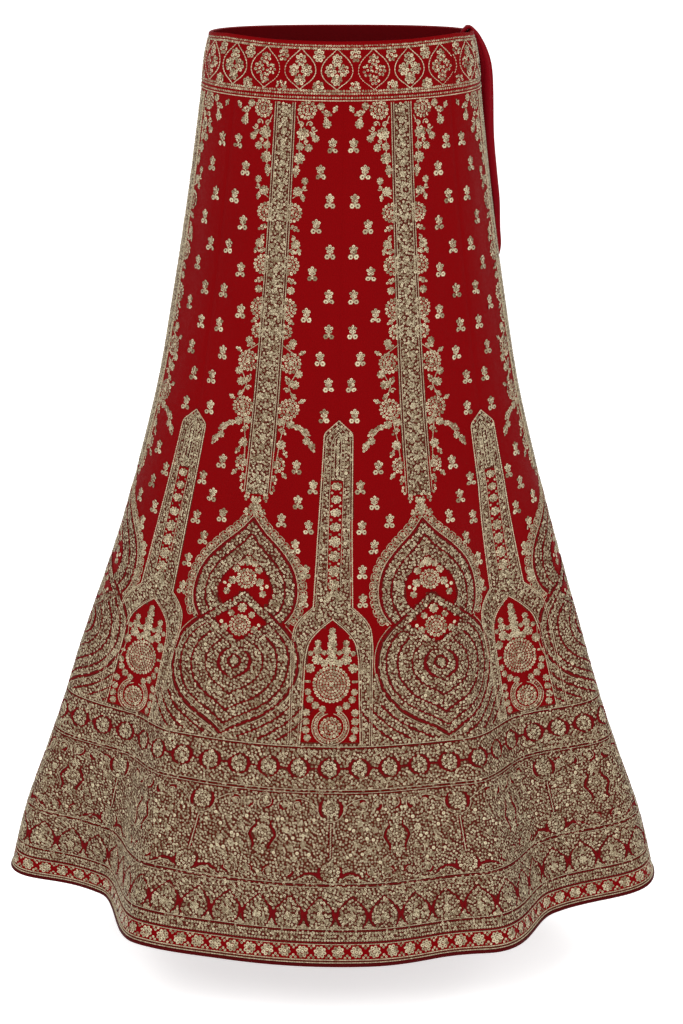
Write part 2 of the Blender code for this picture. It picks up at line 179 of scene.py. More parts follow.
class ClothSurface:
    """The outer face of the skirt's cloth, addressed by kali, metres across and metres down."""

    def __init__(self) -> None:
        """Lay out every level, then let each line down the cloth fall by its own length."""
        self.levels = np.linspace(0.0, SKIRT_LENGTH, LEVELS + 1)
        degrees = np.linspace(-FULL_TURN, FULL_TURN, 2 * ROUND_STEPS + 1)
        plan, widths = [], []
        for down in self.levels:
            outline = self.level_outline(down, degrees)
            arc = np.concatenate([[0.0], np.cumsum(np.hypot(*np.diff(outline, axis=0).T))])
            seams = np.interp(self.seam_angles(down), degrees, arc)
            stops = np.concatenate([np.linspace(seams[k], seams[k + 1], PANEL_STEPS, endpoint=False)
                                    for k in range(len(KALIS))] + [seams[-1:]])
            plan.append(np.column_stack([np.interp(stops, arc, outline[:, axis]) for axis in (0, 1)]))
            widths.append(np.diff(seams))
        plan = np.array(plan)
        self.widths = np.array(widths)
        step = self.levels[1]
        run = np.hypot(*np.moveaxis(np.diff(plan, axis=0), -1, 0))
        fall = np.sqrt(np.maximum(step ** 2 - run ** 2, (0.3 * step) ** 2))
        heights = np.vstack([np.zeros((1, plan.shape[1])), -np.cumsum(fall, axis=0)])
        fade = np.maximum(0.0, 1.0 - self.levels / SIDE_RISE_FADES) ** 2
        reach = np.abs(plan[:, :, 0]) / np.abs(plan[:, :, 0]).max(axis=1, keepdims=True)
        heights += SIDE_RISE * fade[:, None] * reach ** 2
        self.grid = np.dstack([plan, heights])

    @staticmethod
    def fold_push(degrees: np.ndarray, down: float) -> np.ndarray:
        """Say how far the folds move the wall in plan at these angles, at one length down."""
        push = np.zeros((len(degrees), 2))
        for fold in FOLDS:
            share = (down - fold.starts) / (SKIRT_LENGTH - fold.starts)
            if share <= 0.0:
                continue
            offset = (degrees - fold.angle + 180.0) % FULL_TURN - 180.0
            spread = np.where(offset < 0.0, fold.spread_before, fold.spread_after)
            swing = np.clip(offset / spread, -1.0, 1.0)
            reach = fold.depth * share ** fold.growth * 0.5 * (1.0 + np.cos(math.pi * swing))
            faces = math.radians(fold.faces)
            push += np.outer(reach, (-math.sin(faces), math.cos(faces)))
        return push

    @classmethod
    def level_outline(cls, down: float, degrees: np.ndarray) -> np.ndarray:
        """Give plan points of the wall at one length down the cloth, at these angles."""
        downs = [station.down for station in STATIONS]
        half_width, front, side, back = (
            float(smooth_curve(downs, [station[column] for station in STATIONS], down))
            for column in (1, 2, 3, 4))
        sine, cosine = np.sin(np.radians(degrees)), np.cos(np.radians(degrees))
        reach = np.where(cosine >= 0.0, side - front, back - side)
        lean = HEM_LEAN * down / SKIRT_LENGTH
        return (np.column_stack([half_width * sine + lean, side - reach * cosine])
                + cls.fold_push(degrees, down))

    @staticmethod
    def seam_angles(down: float) -> list[float]:
        """Give the seams' angles at one length down, with the slight turn that the cloth takes."""
        turn = TOP_TURN + (HEM_TURN - TOP_TURN) * down / SKIRT_LENGTH
        return [kali.seam_from + turn for kali in KALIS] + [180.0 + turn]

    def width(self, kali: np.ndarray, down: np.ndarray) -> np.ndarray:
        """Give the width of these kalis at these lengths down the cloth."""
        row = np.clip(np.asarray(down, float) / self.levels[1], 0.0, LEVELS - 1e-9)
        top = np.floor(row).astype(int)
        part = row - top
        return self.widths[top, kali] * (1.0 - part) + self.widths[top + 1, kali] * part

    def plain_point(self, kali: np.ndarray, share: np.ndarray, down: np.ndarray) -> np.ndarray:
        """Give points of the smooth wall; share 0 is the kali's first seam and 1 its second."""
        column = (kali + np.asarray(share, float)) * PANEL_STEPS % (PANEL_STEPS * len(KALIS))
        row = np.clip(np.asarray(down, float) / self.levels[1], 0.0, LEVELS - 1e-9)
        left, top = np.floor(column).astype(int), np.floor(row).astype(int)
        right_part, low_part = (column - left)[..., None], (row - top)[..., None]
        upper = self.grid[top, left] * (1 - right_part) + self.grid[top, left + 1] * right_part
        lower = self.grid[top + 1, left] * (1 - right_part) + self.grid[top + 1, left + 1] * right_part
        return upper * (1 - low_part) + lower * low_part

    def plain_normal(self, kali: np.ndarray, share: np.ndarray, down: np.ndarray) -> np.ndarray:
        """Give unit normals of the smooth wall, pointing out of the skirt."""
        share, down = np.asarray(share, float), np.asarray(down, float)
        aside, below = 0.5 / PANEL_STEPS, 0.004
        across = self.plain_point(kali, share + aside, down) - self.plain_point(kali, share - aside, down)
        low, high = np.minimum(down + below, SKIRT_LENGTH), np.maximum(down - below, 0.0)
        along = self.plain_point(kali, share, low) - self.plain_point(kali, share, high)
        facing = np.cross(along, across)
        return facing / np.linalg.norm(facing, axis=-1, keepdims=True)

    def crease_rise(self, kali: np.ndarray, across: np.ndarray, down: np.ndarray) -> np.ndarray:
        """Say how far the creases lift the cloth at these places."""
        kali, down = np.broadcast_to(kali, np.shape(across)), np.asarray(down, float)
        rise = np.zeros(np.shape(across))
        for crease in CREASES:
            t = (down - crease.down_from) / (crease.down_to - crease.down_from)
            inside = (t > 0.0) & (t < 1.0) & (kali == crease.kali)
            if not inside.any():
                continue
            share = crease.share_from + (crease.share_to - crease.share_from) * np.clip(t, 0.0, 1.0)
            width = self.width(crease.kali, down)
            sway = 0.004 * np.sin(9.0 * t + 3.0 * crease.kali)
            off = (across - share * width - sway) / crease.width
            seam = np.clip(np.minimum(across, width - across) / 0.012, 0.0, 1.0)
            rise += np.where(inside, crease.depth * np.exp(-off * off) * np.sin(math.pi * np.clip(t, 0, 1))
                             * seam, 0.0)
        return rise

    def point(self, kali: np.ndarray, across: np.ndarray, down: np.ndarray, lift: float = 0.0) -> np.ndarray:
        """Give points of the creased cloth.

        Args:
            kali: The kali's number, one or one for each place.
            across: Metres from the kali's first seam.
            down: Metres down the cloth from the waistband's top edge.
            lift: Metres above the cloth's outer face.

        Returns:
            The points, in metres.
        """
        across, down = np.asarray(across, float), np.asarray(down, float)
        share = across / self.width(kali, down)
        raised = self.crease_rise(kali, across, down) + lift
        return self.plain_point(kali, share, down) + self.plain_normal(kali, share, down) * raised[..., None]

    def axes(self, kali: np.ndarray, across: np.ndarray, down: np.ndarray) -> tuple[np.ndarray, ...]:
        """Give the unit directions across, down and out of the cloth at these places."""
        step = 0.0025
        sideways = self.point(kali, across + step, down) - self.point(kali, across - step, down)
        low, high = np.minimum(down + step, SKIRT_LENGTH), np.maximum(down - step, 0.0)
        along = self.point(kali, across, low) - self.point(kali, across, high)
        out = np.cross(along, sideways)
        sideways, along, out = (v / np.linalg.norm(v, axis=-1, keepdims=True) for v in (sideways, along, out))
        return sideways, along, out

    @staticmethod
    def rim_rise(points: np.ndarray, down: np.ndarray | float) -> np.ndarray:
        """Say how far the band's upper half stands up at these places."""
        top = STATIONS[1]
        turned = np.degrees(np.abs(np.arctan2(points[..., 0] / top.half_width, points[..., 1] / top.front)))
        rise = np.interp(turned, *zip(*RIM_RISE))
        return rise * np.maximum(0.0, 1.0 - np.maximum(down, 0.0) / RIM_RISE_FADES)

    def round_start(self, down: float) -> np.ndarray:
        """Give how far round the skirt each kali's first seam is from the front seam, at one level."""
        widths = self.width(np.arange(len(KALIS)), np.full(len(KALIS), down))
        starts = np.concatenate([[0.0], np.cumsum(widths)])
        return starts - starts[FRONT_SEAM]

    def place_round(self, around: np.ndarray, down: float) -> tuple[np.ndarray, np.ndarray]:
        """Turn metres round the skirt from the front seam into kalis and shares of their width."""
        starts = self.round_start(down)
        total = starts[-1] - starts[0]
        around = (np.asarray(around, float) - starts[0]) % total + starts[0]
        kali = np.clip(np.searchsorted(starts, around, side="right") - 1, 0, len(KALIS) - 1)
        return kali, (around - starts[kali]) / (starts[kali + 1] - starts[kali])

    def round_at_degrees(self, degrees: float, down: float) -> float:
        """Give metres round the skirt from the front seam at an angle from the front."""
        angles = np.linspace(-FULL_TURN, FULL_TURN, 2 * ROUND_STEPS + 1)
        outline = self.level_outline(down, angles)
        arc = np.concatenate([[0.0], np.cumsum(np.hypot(*np.diff(outline, axis=0).T))])
        seam = self.seam_angles(down)[FRONT_SEAM]
        return float(np.interp(degrees, angles, arc) - np.interp(seam, angles, arc))


FRONT_SEAM = 3


class Thread(Enum):
    """What a worked element is made of."""

    SEQUIN = "sequins"
    GOLD = "gold_thread"
    RED = "red_thread"


ASIDE, DOWN, TURN, LENGTH, WIDTH, HEIGHT, TONE = range(7)
FIELDS = 7


def even_stops(path: np.ndarray, pitch: float, closed: bool = False) -> tuple[np.ndarray, np.ndarray, float]:
    """Space stops evenly along a path.

    Args:
        path: Points of the path, across and down, in metres.
        pitch: The spacing that is wanted.
        closed: Whether the path comes back to its first point.

    Returns:
        The stops, the path's turn at each, and the spacing that fits.
    """
    path = np.asarray(path, float)
    if closed:
        path = np.vstack([path, path[:1]])
    steps = np.hypot(*np.diff(path, axis=0).T)
    reach = np.concatenate([[0.0], np.cumsum(steps)])
    count = max(1, int(round(reach[-1] / pitch)))
    spacing = reach[-1] / count
    at = (np.arange(count) + 0.5) * spacing
    stops = np.column_stack([np.interp(at, reach, path[:, axis]) for axis in (0, 1)])
    ahead = np.column_stack([np.interp(np.minimum(at + 0.4 * spacing, reach[-1]), reach, path[:, axis])
                             - np.interp(np.maximum(at - 0.4 * spacing, 0.0), reach, path[:, axis])
                             for axis in (0, 1)])
    return stops, np.arctan2(ahead[:, 1], ahead[:, 0]), spacing


@dataclass
class Work:
    """Embroidery in one plane: across from a seam or a middle line, and down the cloth.

    Attributes:
        beads: Arrays of elements for each material, seven columns each.
        clear: Places that loose filling keeps off: across, down and radius.
    """

    beads: dict[Thread, list[np.ndarray]] = field(default_factory=lambda: {kind: [] for kind in Thread})
    clear: list[np.ndarray] = field(default_factory=list)

    def put(self, kind: Thread, places: np.ndarray, length: float, width: float | None = None,
            turn: np.ndarray | float = 0.0, height: float = 0.0009, tone: float = 0.5) -> None:
        """Add single elements at these places, with their half length and half width."""
        places = np.asarray(places, float).reshape(-1, 2)
        rows = np.zeros((len(places), FIELDS))
        rows[:, :2] = places
        rows[:, TURN] = turn
        rows[:, LENGTH] = length
        rows[:, WIDTH] = length if width is None else width
        rows[:, HEIGHT] = height
        rows[:, TONE] = tone
        self.beads[kind].append(rows)

    def keep_clear(self, places: np.ndarray, radius: np.ndarray | float) -> None:
        """Keep loose filling off these places."""
        places = np.asarray(places, float).reshape(-1, 2)
        self.clear.append(np.column_stack([places, np.full(len(places), 1.0) * radius]))

    def rings(self, path: np.ndarray, radius: float, pitch: float | None = None,
              closed: bool = False, tone: float = 0.5, clear: bool = True) -> None:
        """Lay a row of ring sequins along a path."""
        stops, turn, _ = even_stops(path, pitch or 2.08 * radius, closed)
        self.put(Thread.SEQUIN, stops, radius, turn=turn, tone=tone)
        if clear:
            self.keep_clear(stops, radius * 1.5)

    def cord(self, path: np.ndarray, width: float, closed: bool = False, tone: float = 0.6) -> None:
        """Couch a gold thread along a path, stitch by stitch."""
        stops, turn, spacing = even_stops(path, 0.0029, closed)
        self.put(Thread.GOLD, stops, 0.66 * spacing, 0.5 * width, turn, 0.55 * width + 0.0006, tone)
        self.keep_clear(stops, 0.5 * width + 0.0010)

    def channel(self, path: np.ndarray, width: np.ndarray | float, closed: bool = False) -> None:
        """Leave a red channel along a path, filled with red thread; its width may vary."""
        stops, turn, spacing = even_stops(path, 0.0030, closed)
        widths = np.atleast_1d(width)
        share = np.linspace(0.0, 1.0, len(stops))
        wide = np.interp(share, np.linspace(0.0, 1.0, len(widths)), widths)
        self.put(Thread.RED, stops, 0.95 * spacing, 0.5 * wide, turn, 0.0012, 0.5)
        self.keep_clear(stops, 0.5 * wide + 0.0009)

    def moved(self, aside: float, down: float) -> "Work":
        """Return the work shifted across and down."""
        shift = np.zeros(FIELDS)
        shift[:2] = aside, down
        return Work({kind: [rows + shift for rows in parts] for kind, parts in self.beads.items()},
                    [rows + shift[:3] for rows in self.clear])

    def mirrored(self) -> "Work":
        """Return the work with left and right changed over."""
        def flip(rows: np.ndarray) -> np.ndarray:
            """Change the side and the turn of some elements."""
            flipped = rows.copy()
            flipped[:, ASIDE] *= -1.0
            flipped[:, TURN] = math.pi - flipped[:, TURN]
            return flipped
        sided = [np.column_stack([-rows[:, 0], rows[:, 1:]]) for rows in self.clear]
        return Work({kind: [flip(rows) for rows in parts] for kind, parts in self.beads.items()}, sided)

    def add(self, *others: "Work") -> "Work":
        """Take in other work and return this one."""
        for other in others:
            for kind in Thread:
                self.beads[kind] += other.beads[kind]
            self.clear += other.clear
        return self

    def both_sides(self) -> "Work":
        """Return the work together with its mirror image."""
        return Work().add(self, self.mirrored())


def circle(radius: float, start: float = 0.0, sweep: float = 2.0 * math.pi,
           end_radius: float | None = None) -> np.ndarray:
    """Give points along an arc or a spiral about the origin, from one radius to another."""
    turns = np.linspace(start, start + sweep, max(6, int(abs(sweep) * 8)))
    reach = np.linspace(radius, radius if end_radius is None else end_radius, len(turns))
    return np.column_stack([reach * np.cos(turns), reach * np.sin(turns)])


def floret(radius: float, petals: int = 8, squash: float = 1.0) -> Work:
    """Make a small flower of loop petals round one ring."""
    work = Work()
    turns = np.arange(petals) * 2.0 * math.pi / petals + 0.2
    reach = np.column_stack([np.cos(turns), squash * np.sin(turns)]) * radius * 0.64
    work.put(Thread.SEQUIN, reach, radius * 0.39, radius * min(0.36, 2.35 / petals), turns, tone=0.55)
    work.put(Thread.SEQUIN, [(0.0, 0.0)], radius * 0.30, tone=0.85, height=0.0012)
    work.keep_clear([(0.0, 0.0)], radius + 0.0006)
    return work


def rosette(radius: float, edge: float = 1.9 * MM) -> Work:
    """Make a dense round flower: a ring of petals round rows of small rings."""
    work = Work()
    count = int(2.0 * math.pi * (radius - edge) / (2.05 * edge))
    turns = np.arange(count) * 2.0 * math.pi / count
    rim = np.column_stack([np.cos(turns), np.sin(turns)]) * (radius - 1.15 * edge)
    work.put(Thread.SEQUIN, rim, 1.25 * edge, 1.0 * edge, turns, tone=0.55)
    row = radius - 3.3 * edge
    while row > 1.2 * MM:
        work.rings(circle(row), 1.6 * MM, 3.35 * MM, closed=True, tone=0.5, clear=False)
        row -= 3.3 * MM
    work.put(Thread.SEQUIN, [(0.0, 0.0)], 1.8 * MM, tone=0.9, height=0.0012)
    work.keep_clear([(0.0, 0.0)], radius + 0.0006)
    return work


def leaf(length: float, width: float, heading: float) -> Work:
    """Make a pointed leaf of rings along and beside its vein; it starts at the origin."""
    work = Work()
    count = max(3, int(length / 2.9e-3))
    for step in range(count):
        t = (step + 0.5) / count
        half = 0.5 * width * math.sin(math.pi * t ** 0.8)
        rows = max(1, int(round(2.0 * half / 3.0e-3)))
        for row in range(rows):
            off = (row - 0.5 * (rows - 1)) * 2.0 * half / rows
            x, y = t * length, off
            place = (x * math.cos(heading) - y * math.sin(heading),
                     x * math.sin(heading) + y * math.cos(heading))
            work.put(Thread.SEQUIN, [place], 1.9 * MM, 1.6 * MM, heading, tone=0.52)
            work.keep_clear([place], 2.2 * MM)
    return work


def curl(radius: float, start: float, sweep: float, width: float = 1.5 * MM) -> Work:
    """Make a thread curl that winds in towards a ring."""
    work = Work()
    work.cord(circle(radius, start, sweep, 0.35 * radius), width)
    work.put(Thread.SEQUIN, [(0.0, 0.0)], 1.5 * MM, tone=0.7)
    return work


def butti() -> Work:
    """Make the small sprig that is scattered over the red ground: one flower on two rings."""
    work = Work()
    turns = np.arange(5) * 2.0 * math.pi / 5 - math.pi / 2
    work.put(Thread.SEQUIN, np.column_stack([np.cos(turns), np.sin(turns)]) * 3.2 * MM + (0.0, -3.8 * MM),
             2.1 * MM, 2.0 * MM, turns, tone=0.6)
    work.put(Thread.SEQUIN, [(0.0, -3.8 * MM)], 1.6 * MM, tone=0.9, height=0.0012)
    work.put(Thread.SEQUIN, [(-3.1 * MM, 4.6 * MM), (3.1 * MM, 4.6 * MM)], 3.1 * MM, tone=0.6)
    work.put(Thread.SEQUIN, [(0.0, 1.4 * MM), (0.0, 4.0 * MM)], 1.5 * MM, tone=0.8, height=0.0012)
    return work


def outline_path(profile: Sequence[tuple[float, float]], scale: float = 1.0, centre: float = 0.0,
                 steps: int = 60) -> np.ndarray:
    """Give the right half of an outline as a smooth path, scaled about a centre on its middle line."""
    downs, halves = (np.array(column) for column in zip(*profile))
    reach = np.concatenate([[0.0], np.cumsum(np.hypot(np.diff(downs), np.diff(halves)))])
    at = np.linspace(0.0, reach[-1], steps)
    down, half = smooth_curve(reach, downs, at), np.maximum(smooth_curve(reach, halves, at), 0.0)
    return np.column_stack([half * scale, centre + (down - centre) * scale])


class NestedShape:
    """An outline that repeats inside itself, scaled about its centre."""

    def __init__(self, profile: Sequence[tuple[float, float]], centre: float) -> None:
        """Keep the outline and its reach at each angle about the centre."""
        self.profile, self.centre = profile, centre
        path = outline_path(profile, steps=240)
        angles = np.arctan2(path[:, 0], path[:, 1] - centre)
        order = np.argsort(angles)
        self.angles = angles[order]
        self.reach = np.hypot(path[:, 0], path[:, 1] - centre)[order]

    def path(self, scale: float) -> np.ndarray:
        """Give the right half of the outline at a scale."""
        return outline_path(self.profile, scale, self.centre)

    def depth(self, across: np.ndarray, down: np.ndarray) -> np.ndarray:
        """Give the scale of the outline that runs through each place: under 1 is inside."""
        across, down = np.abs(across), down - self.centre
        return np.hypot(across, down) / np.interp(np.arctan2(across, down), self.angles, self.reach)


LOWER_OGEE = NestedShape((
    (0.613, 0.0), (0.630, 0.0217), (0.6475, 0.0450), (0.6560, 0.0548), (0.670, 0.0658), (0.692, 0.0728),
    (0.7103, 0.0728), (0.7305, 0.0656), (0.7468, 0.0524), (0.759, 0.0354), (0.769, 0.0171), (0.7808, 0.0)),
    0.695)
UPPER_OGEE = NestedShape((
    (0.5290, 0.0), (0.5435, 0.0118), (0.5640, 0.0332), (0.5845, 0.0496), (0.6050, 0.0572), (0.6195, 0.0585),
    (0.6357, 0.0552), (0.648, 0.0470), (0.656, 0.0366), (0.668, 0.0198), (0.683, 0.0)), 0.612)
STRIP_EDGE = ((0.0605, 0.0113), (0.15, 0.0118), (0.26, 0.0128), (0.35, 0.0136), (0.45, 0.0146),
              (0.500, 0.0150))
TOWER_EDGE = ((0.4135, 0.0), (0.4200, 0.0070), (0.4295, 0.0155), (0.4330, 0.0160), (0.48, 0.0172),
              (0.524, 0.0185), (0.576, 0.0203), (0.6270, 0.0222))
ARCH_OUTER = ((0.6270, 0.0222), (0.634, 0.0300), (0.642, 0.0375), (0.6513, 0.0430), (0.6617, 0.0450),
              (0.706, 0.0462), (0.7862, 0.0475))
ARCH_INNER = ((0.641, 0.0), (0.647, 0.0075), (0.654, 0.0150), (0.667, 0.0250), (0.6825, 0.0290),
              (0.706, 0.0305), (0.745, 0.0320), (0.7855, 0.0340))


DESIGN_LEAN = ((0.400, 0.0), (0.545, -0.0030), (0.640, -0.0040), (0.765, -0.0042), (0.8125, -0.0050),
               (0.850, -0.0020),
               (0.900, -0.0012), (1.040, 0.0))


def lean(down: np.ndarray) -> np.ndarray:
    """Say how far the design on the seams stands aside of them at these lengths down."""
    return np.interp(down, *zip(*DESIGN_LEAN))


def off_seam(across: np.ndarray, widths: np.ndarray, down: np.ndarray) -> np.ndarray:
    """Give metres from the nearer seam's design line, for places across a kali."""
    return np.minimum(np.abs(across - lean(down)), np.abs(across - widths - lean(down)))


def half_at(edge: Sequence[tuple[float, float]], down: np.ndarray) -> np.ndarray:
    """Give an outline's half width at these lengths down, and a minus value past its ends."""
    downs, halves = (np.array(column) for column in zip(*edge))
    return np.interp(down, downs, halves, left=-1.0, right=-1.0)


def between(edge: Sequence[tuple[float, float]], inset: float, start: float, end: float) -> np.ndarray:
    """Give the path that runs inside an edge by an inset, between two lengths down."""
    downs = np.linspace(start, end, max(8, int((end - start) / 0.004)))
    return np.column_stack([np.maximum(half_at(edge, downs) - inset, 0.0), downs])


class SprayPart(NamedTuple):
    """One motif of the sprays beside a strip: its kind, place, size and heading in degrees."""

    kind: str
    aside: float
    down: float
    size: float
    heading: float = 0.0


SPRAY = (
    SprayPart("rosette", 25.0, 69.0, 10.9), SprayPart("leaf", 41.0, 70.0, 12.0, 20.0),
    SprayPart("floret", 40.0, 64.5, 4.4), SprayPart("floret", 47.5, 84.0, 5.0),
    SprayPart("leaf", 45.0, 76.0, 9.0, 70.0),
    SprayPart("curl", 19.0, 85.0, 3.6, 200.0), SprayPart("curl", 29.0, 84.5, 3.8, 160.0),
    SprayPart("floret", 21.5, 95.0, 7.2), SprayPart("leaf", 29.0, 93.0, 9.0, 35.0),
    SprayPart("floret", 36.0, 100.0, 4.2),
    SprayPart("curl", 33.5, 89.0, 3.6, 20.0), SprayPart("floret", 19.0, 109.0, 4.6),
    SprayPart("floret", 28.5, 110.0, 4.6),
    SprayPart("curl", 26.0, 103.5, 2.8, 90.0), SprayPart("floret", 19.0, 122.0, 6.6),
    SprayPart("leaf", 17.0, 130.0, 13.0, 96.0),
    SprayPart("floret", 26.5, 146.5, 4.0), SprayPart("curl", 27.0, 154.0, 3.0, 40.0),
    SprayPart("floret", 19.0, 158.5, 5.6),
    SprayPart("leaf", 24.5, 161.0, 8.0, 78.0), SprayPart("rosette", 14.5, 182.0, 11.4),
    SprayPart("leaf", 14.0, 197.0, 11.0, 28.0),
    SprayPart("curl", 17.0, 210.5, 3.0, 250.0), SprayPart("floret", 20.5, 217.0, 5.4),
    SprayPart("leaf", 23.0, 220.0, 9.0, 72.0),
    SprayPart("leaf", 14.0, 225.0, 8.0, 10.0), SprayPart("rosette", 15.0, 240.5, 11.6),
    SprayPart("leaf", 14.0, 256.0, 11.0, 24.0),
    SprayPart("floret", 18.5, 268.5, 4.6), SprayPart("rosette", 14.5, 289.0, 12.4),
    SprayPart("leaf", 16.0, 301.0, 10.0, 30.0),
    SprayPart("rosette", 15.0, 315.0, 9.0), SprayPart("floret", 25.0, 327.0, 4.8),
    SprayPart("leaf", 18.0, 330.0, 10.0, 20.0),
    SprayPart("rosette", 24.5, 350.0, 12.2), SprayPart("leaf", 33.0, 340.0, 8.0, -30.0),
    SprayPart("floret", 34.5, 362.0, 4.6),
    SprayPart("leaf", 20.0, 365.0, 12.0, 60.0), SprayPart("floret", 31.0, 374.0, 5.2),
    SprayPart("curl", 22.0, 381.0, 3.4, 200.0),
    SprayPart("leaf", 27.0, 384.0, 9.0, 40.0), SprayPart("rosette", 26.5, 402.0, 12.4),
    SprayPart("leaf", 37.0, 394.0, 8.0, -25.0),
    SprayPart("floret", 19.0, 417.0, 4.8), SprayPart("leaf", 18.0, 424.0, 11.0, 40.0),
    SprayPart("floret", 30.0, 419.0, 5.0),
    SprayPart("leaf", 33.0, 421.0, 12.0, 10.0), SprayPart("leaf", 43.0, 424.0, 13.0, 35.0),
    SprayPart("floret", 50.0, 437.0, 4.6),
    SprayPart("leaf", 54.0, 438.0, 13.0, 62.0), SprayPart("floret", 22.0, 443.0, 5.6),
    SprayPart("leaf", 25.0, 448.0, 10.0, 60.0),
    SprayPart("rosette", 19.5, 466.0, 9.8), SprayPart("leaf", 26.0, 474.0, 9.0, 50.0),
    SprayPart("leaf", 17.0, 478.0, 11.0, 72.0),
    SprayPart("leaf", 18.5, 490.0, 10.0, 100.0), SprayPart("leaf", 10.0, 499.0, 11.0, 80.0),
    SprayPart("leaf", 4.0, 503.0, 9.0, 100.0),
)
SPRAY_OVERLAP = ((0.168, 0.0012), (0.173, -0.0045), (0.192, -0.0045), (0.197, 0.0012), (0.228, 0.0012),
                 (0.232, -0.0045),
                 (0.250, -0.0045), (0.254, 0.0012), (0.277, 0.0012), (0.281, -0.0055), (0.324, -0.0055),
                 (0.328, 0.0012))
STEMS = (((14.0, 76.0), (20.0, 90.0), (18.0, 104.0), (19.0, 124.0), (15.0, 140.0)),
         ((14.0, 166.0), (24.0, 158.0), (28.0, 148.0)), ((13.0, 224.0), (20.0, 220.0), (23.0, 212.0)),
         ((14.0, 330.0), (28.0, 340.0), (32.0, 360.0), (24.0, 376.0), (30.0, 390.0), (24.0, 414.0),
          (20.0, 440.0), (18.0, 470.0)),
         ((24.0, 416.0), (36.0, 420.0), (48.0, 432.0), (57.0, 448.0)))


class ButtiPlace(NamedTuple):
    """Where a pair of small sprigs stands beside a seam."""

    down: float
    aside: float


UPPER_BUTTIS = (
    ButtiPlace(0.108, 0.0115), ButtiPlace(0.137, 0.0245), ButtiPlace(0.1687, 0.0137),
    ButtiPlace(0.197, 0.0286),
    ButtiPlace(0.225, 0.0130), ButtiPlace(0.2495, 0.0324), ButtiPlace(0.275, 0.0137),
    ButtiPlace(0.296, 0.0385),
    ButtiPlace(0.314, 0.0132), ButtiPlace(0.3446, 0.0225), ButtiPlace(0.374, 0.0127),
    ButtiPlace(0.409, 0.0170),
)
LOWER_BUTTIS = (
    ButtiPlace(0.468, 0.0460), ButtiPlace(0.490, 0.0265), ButtiPlace(0.508, 0.0430),
    ButtiPlace(0.5295, 0.0610),
    ButtiPlace(0.5360, 0.0300), ButtiPlace(0.5585, 0.0445), ButtiPlace(0.587, 0.0320),
    ButtiPlace(0.6200, 0.0335),
)


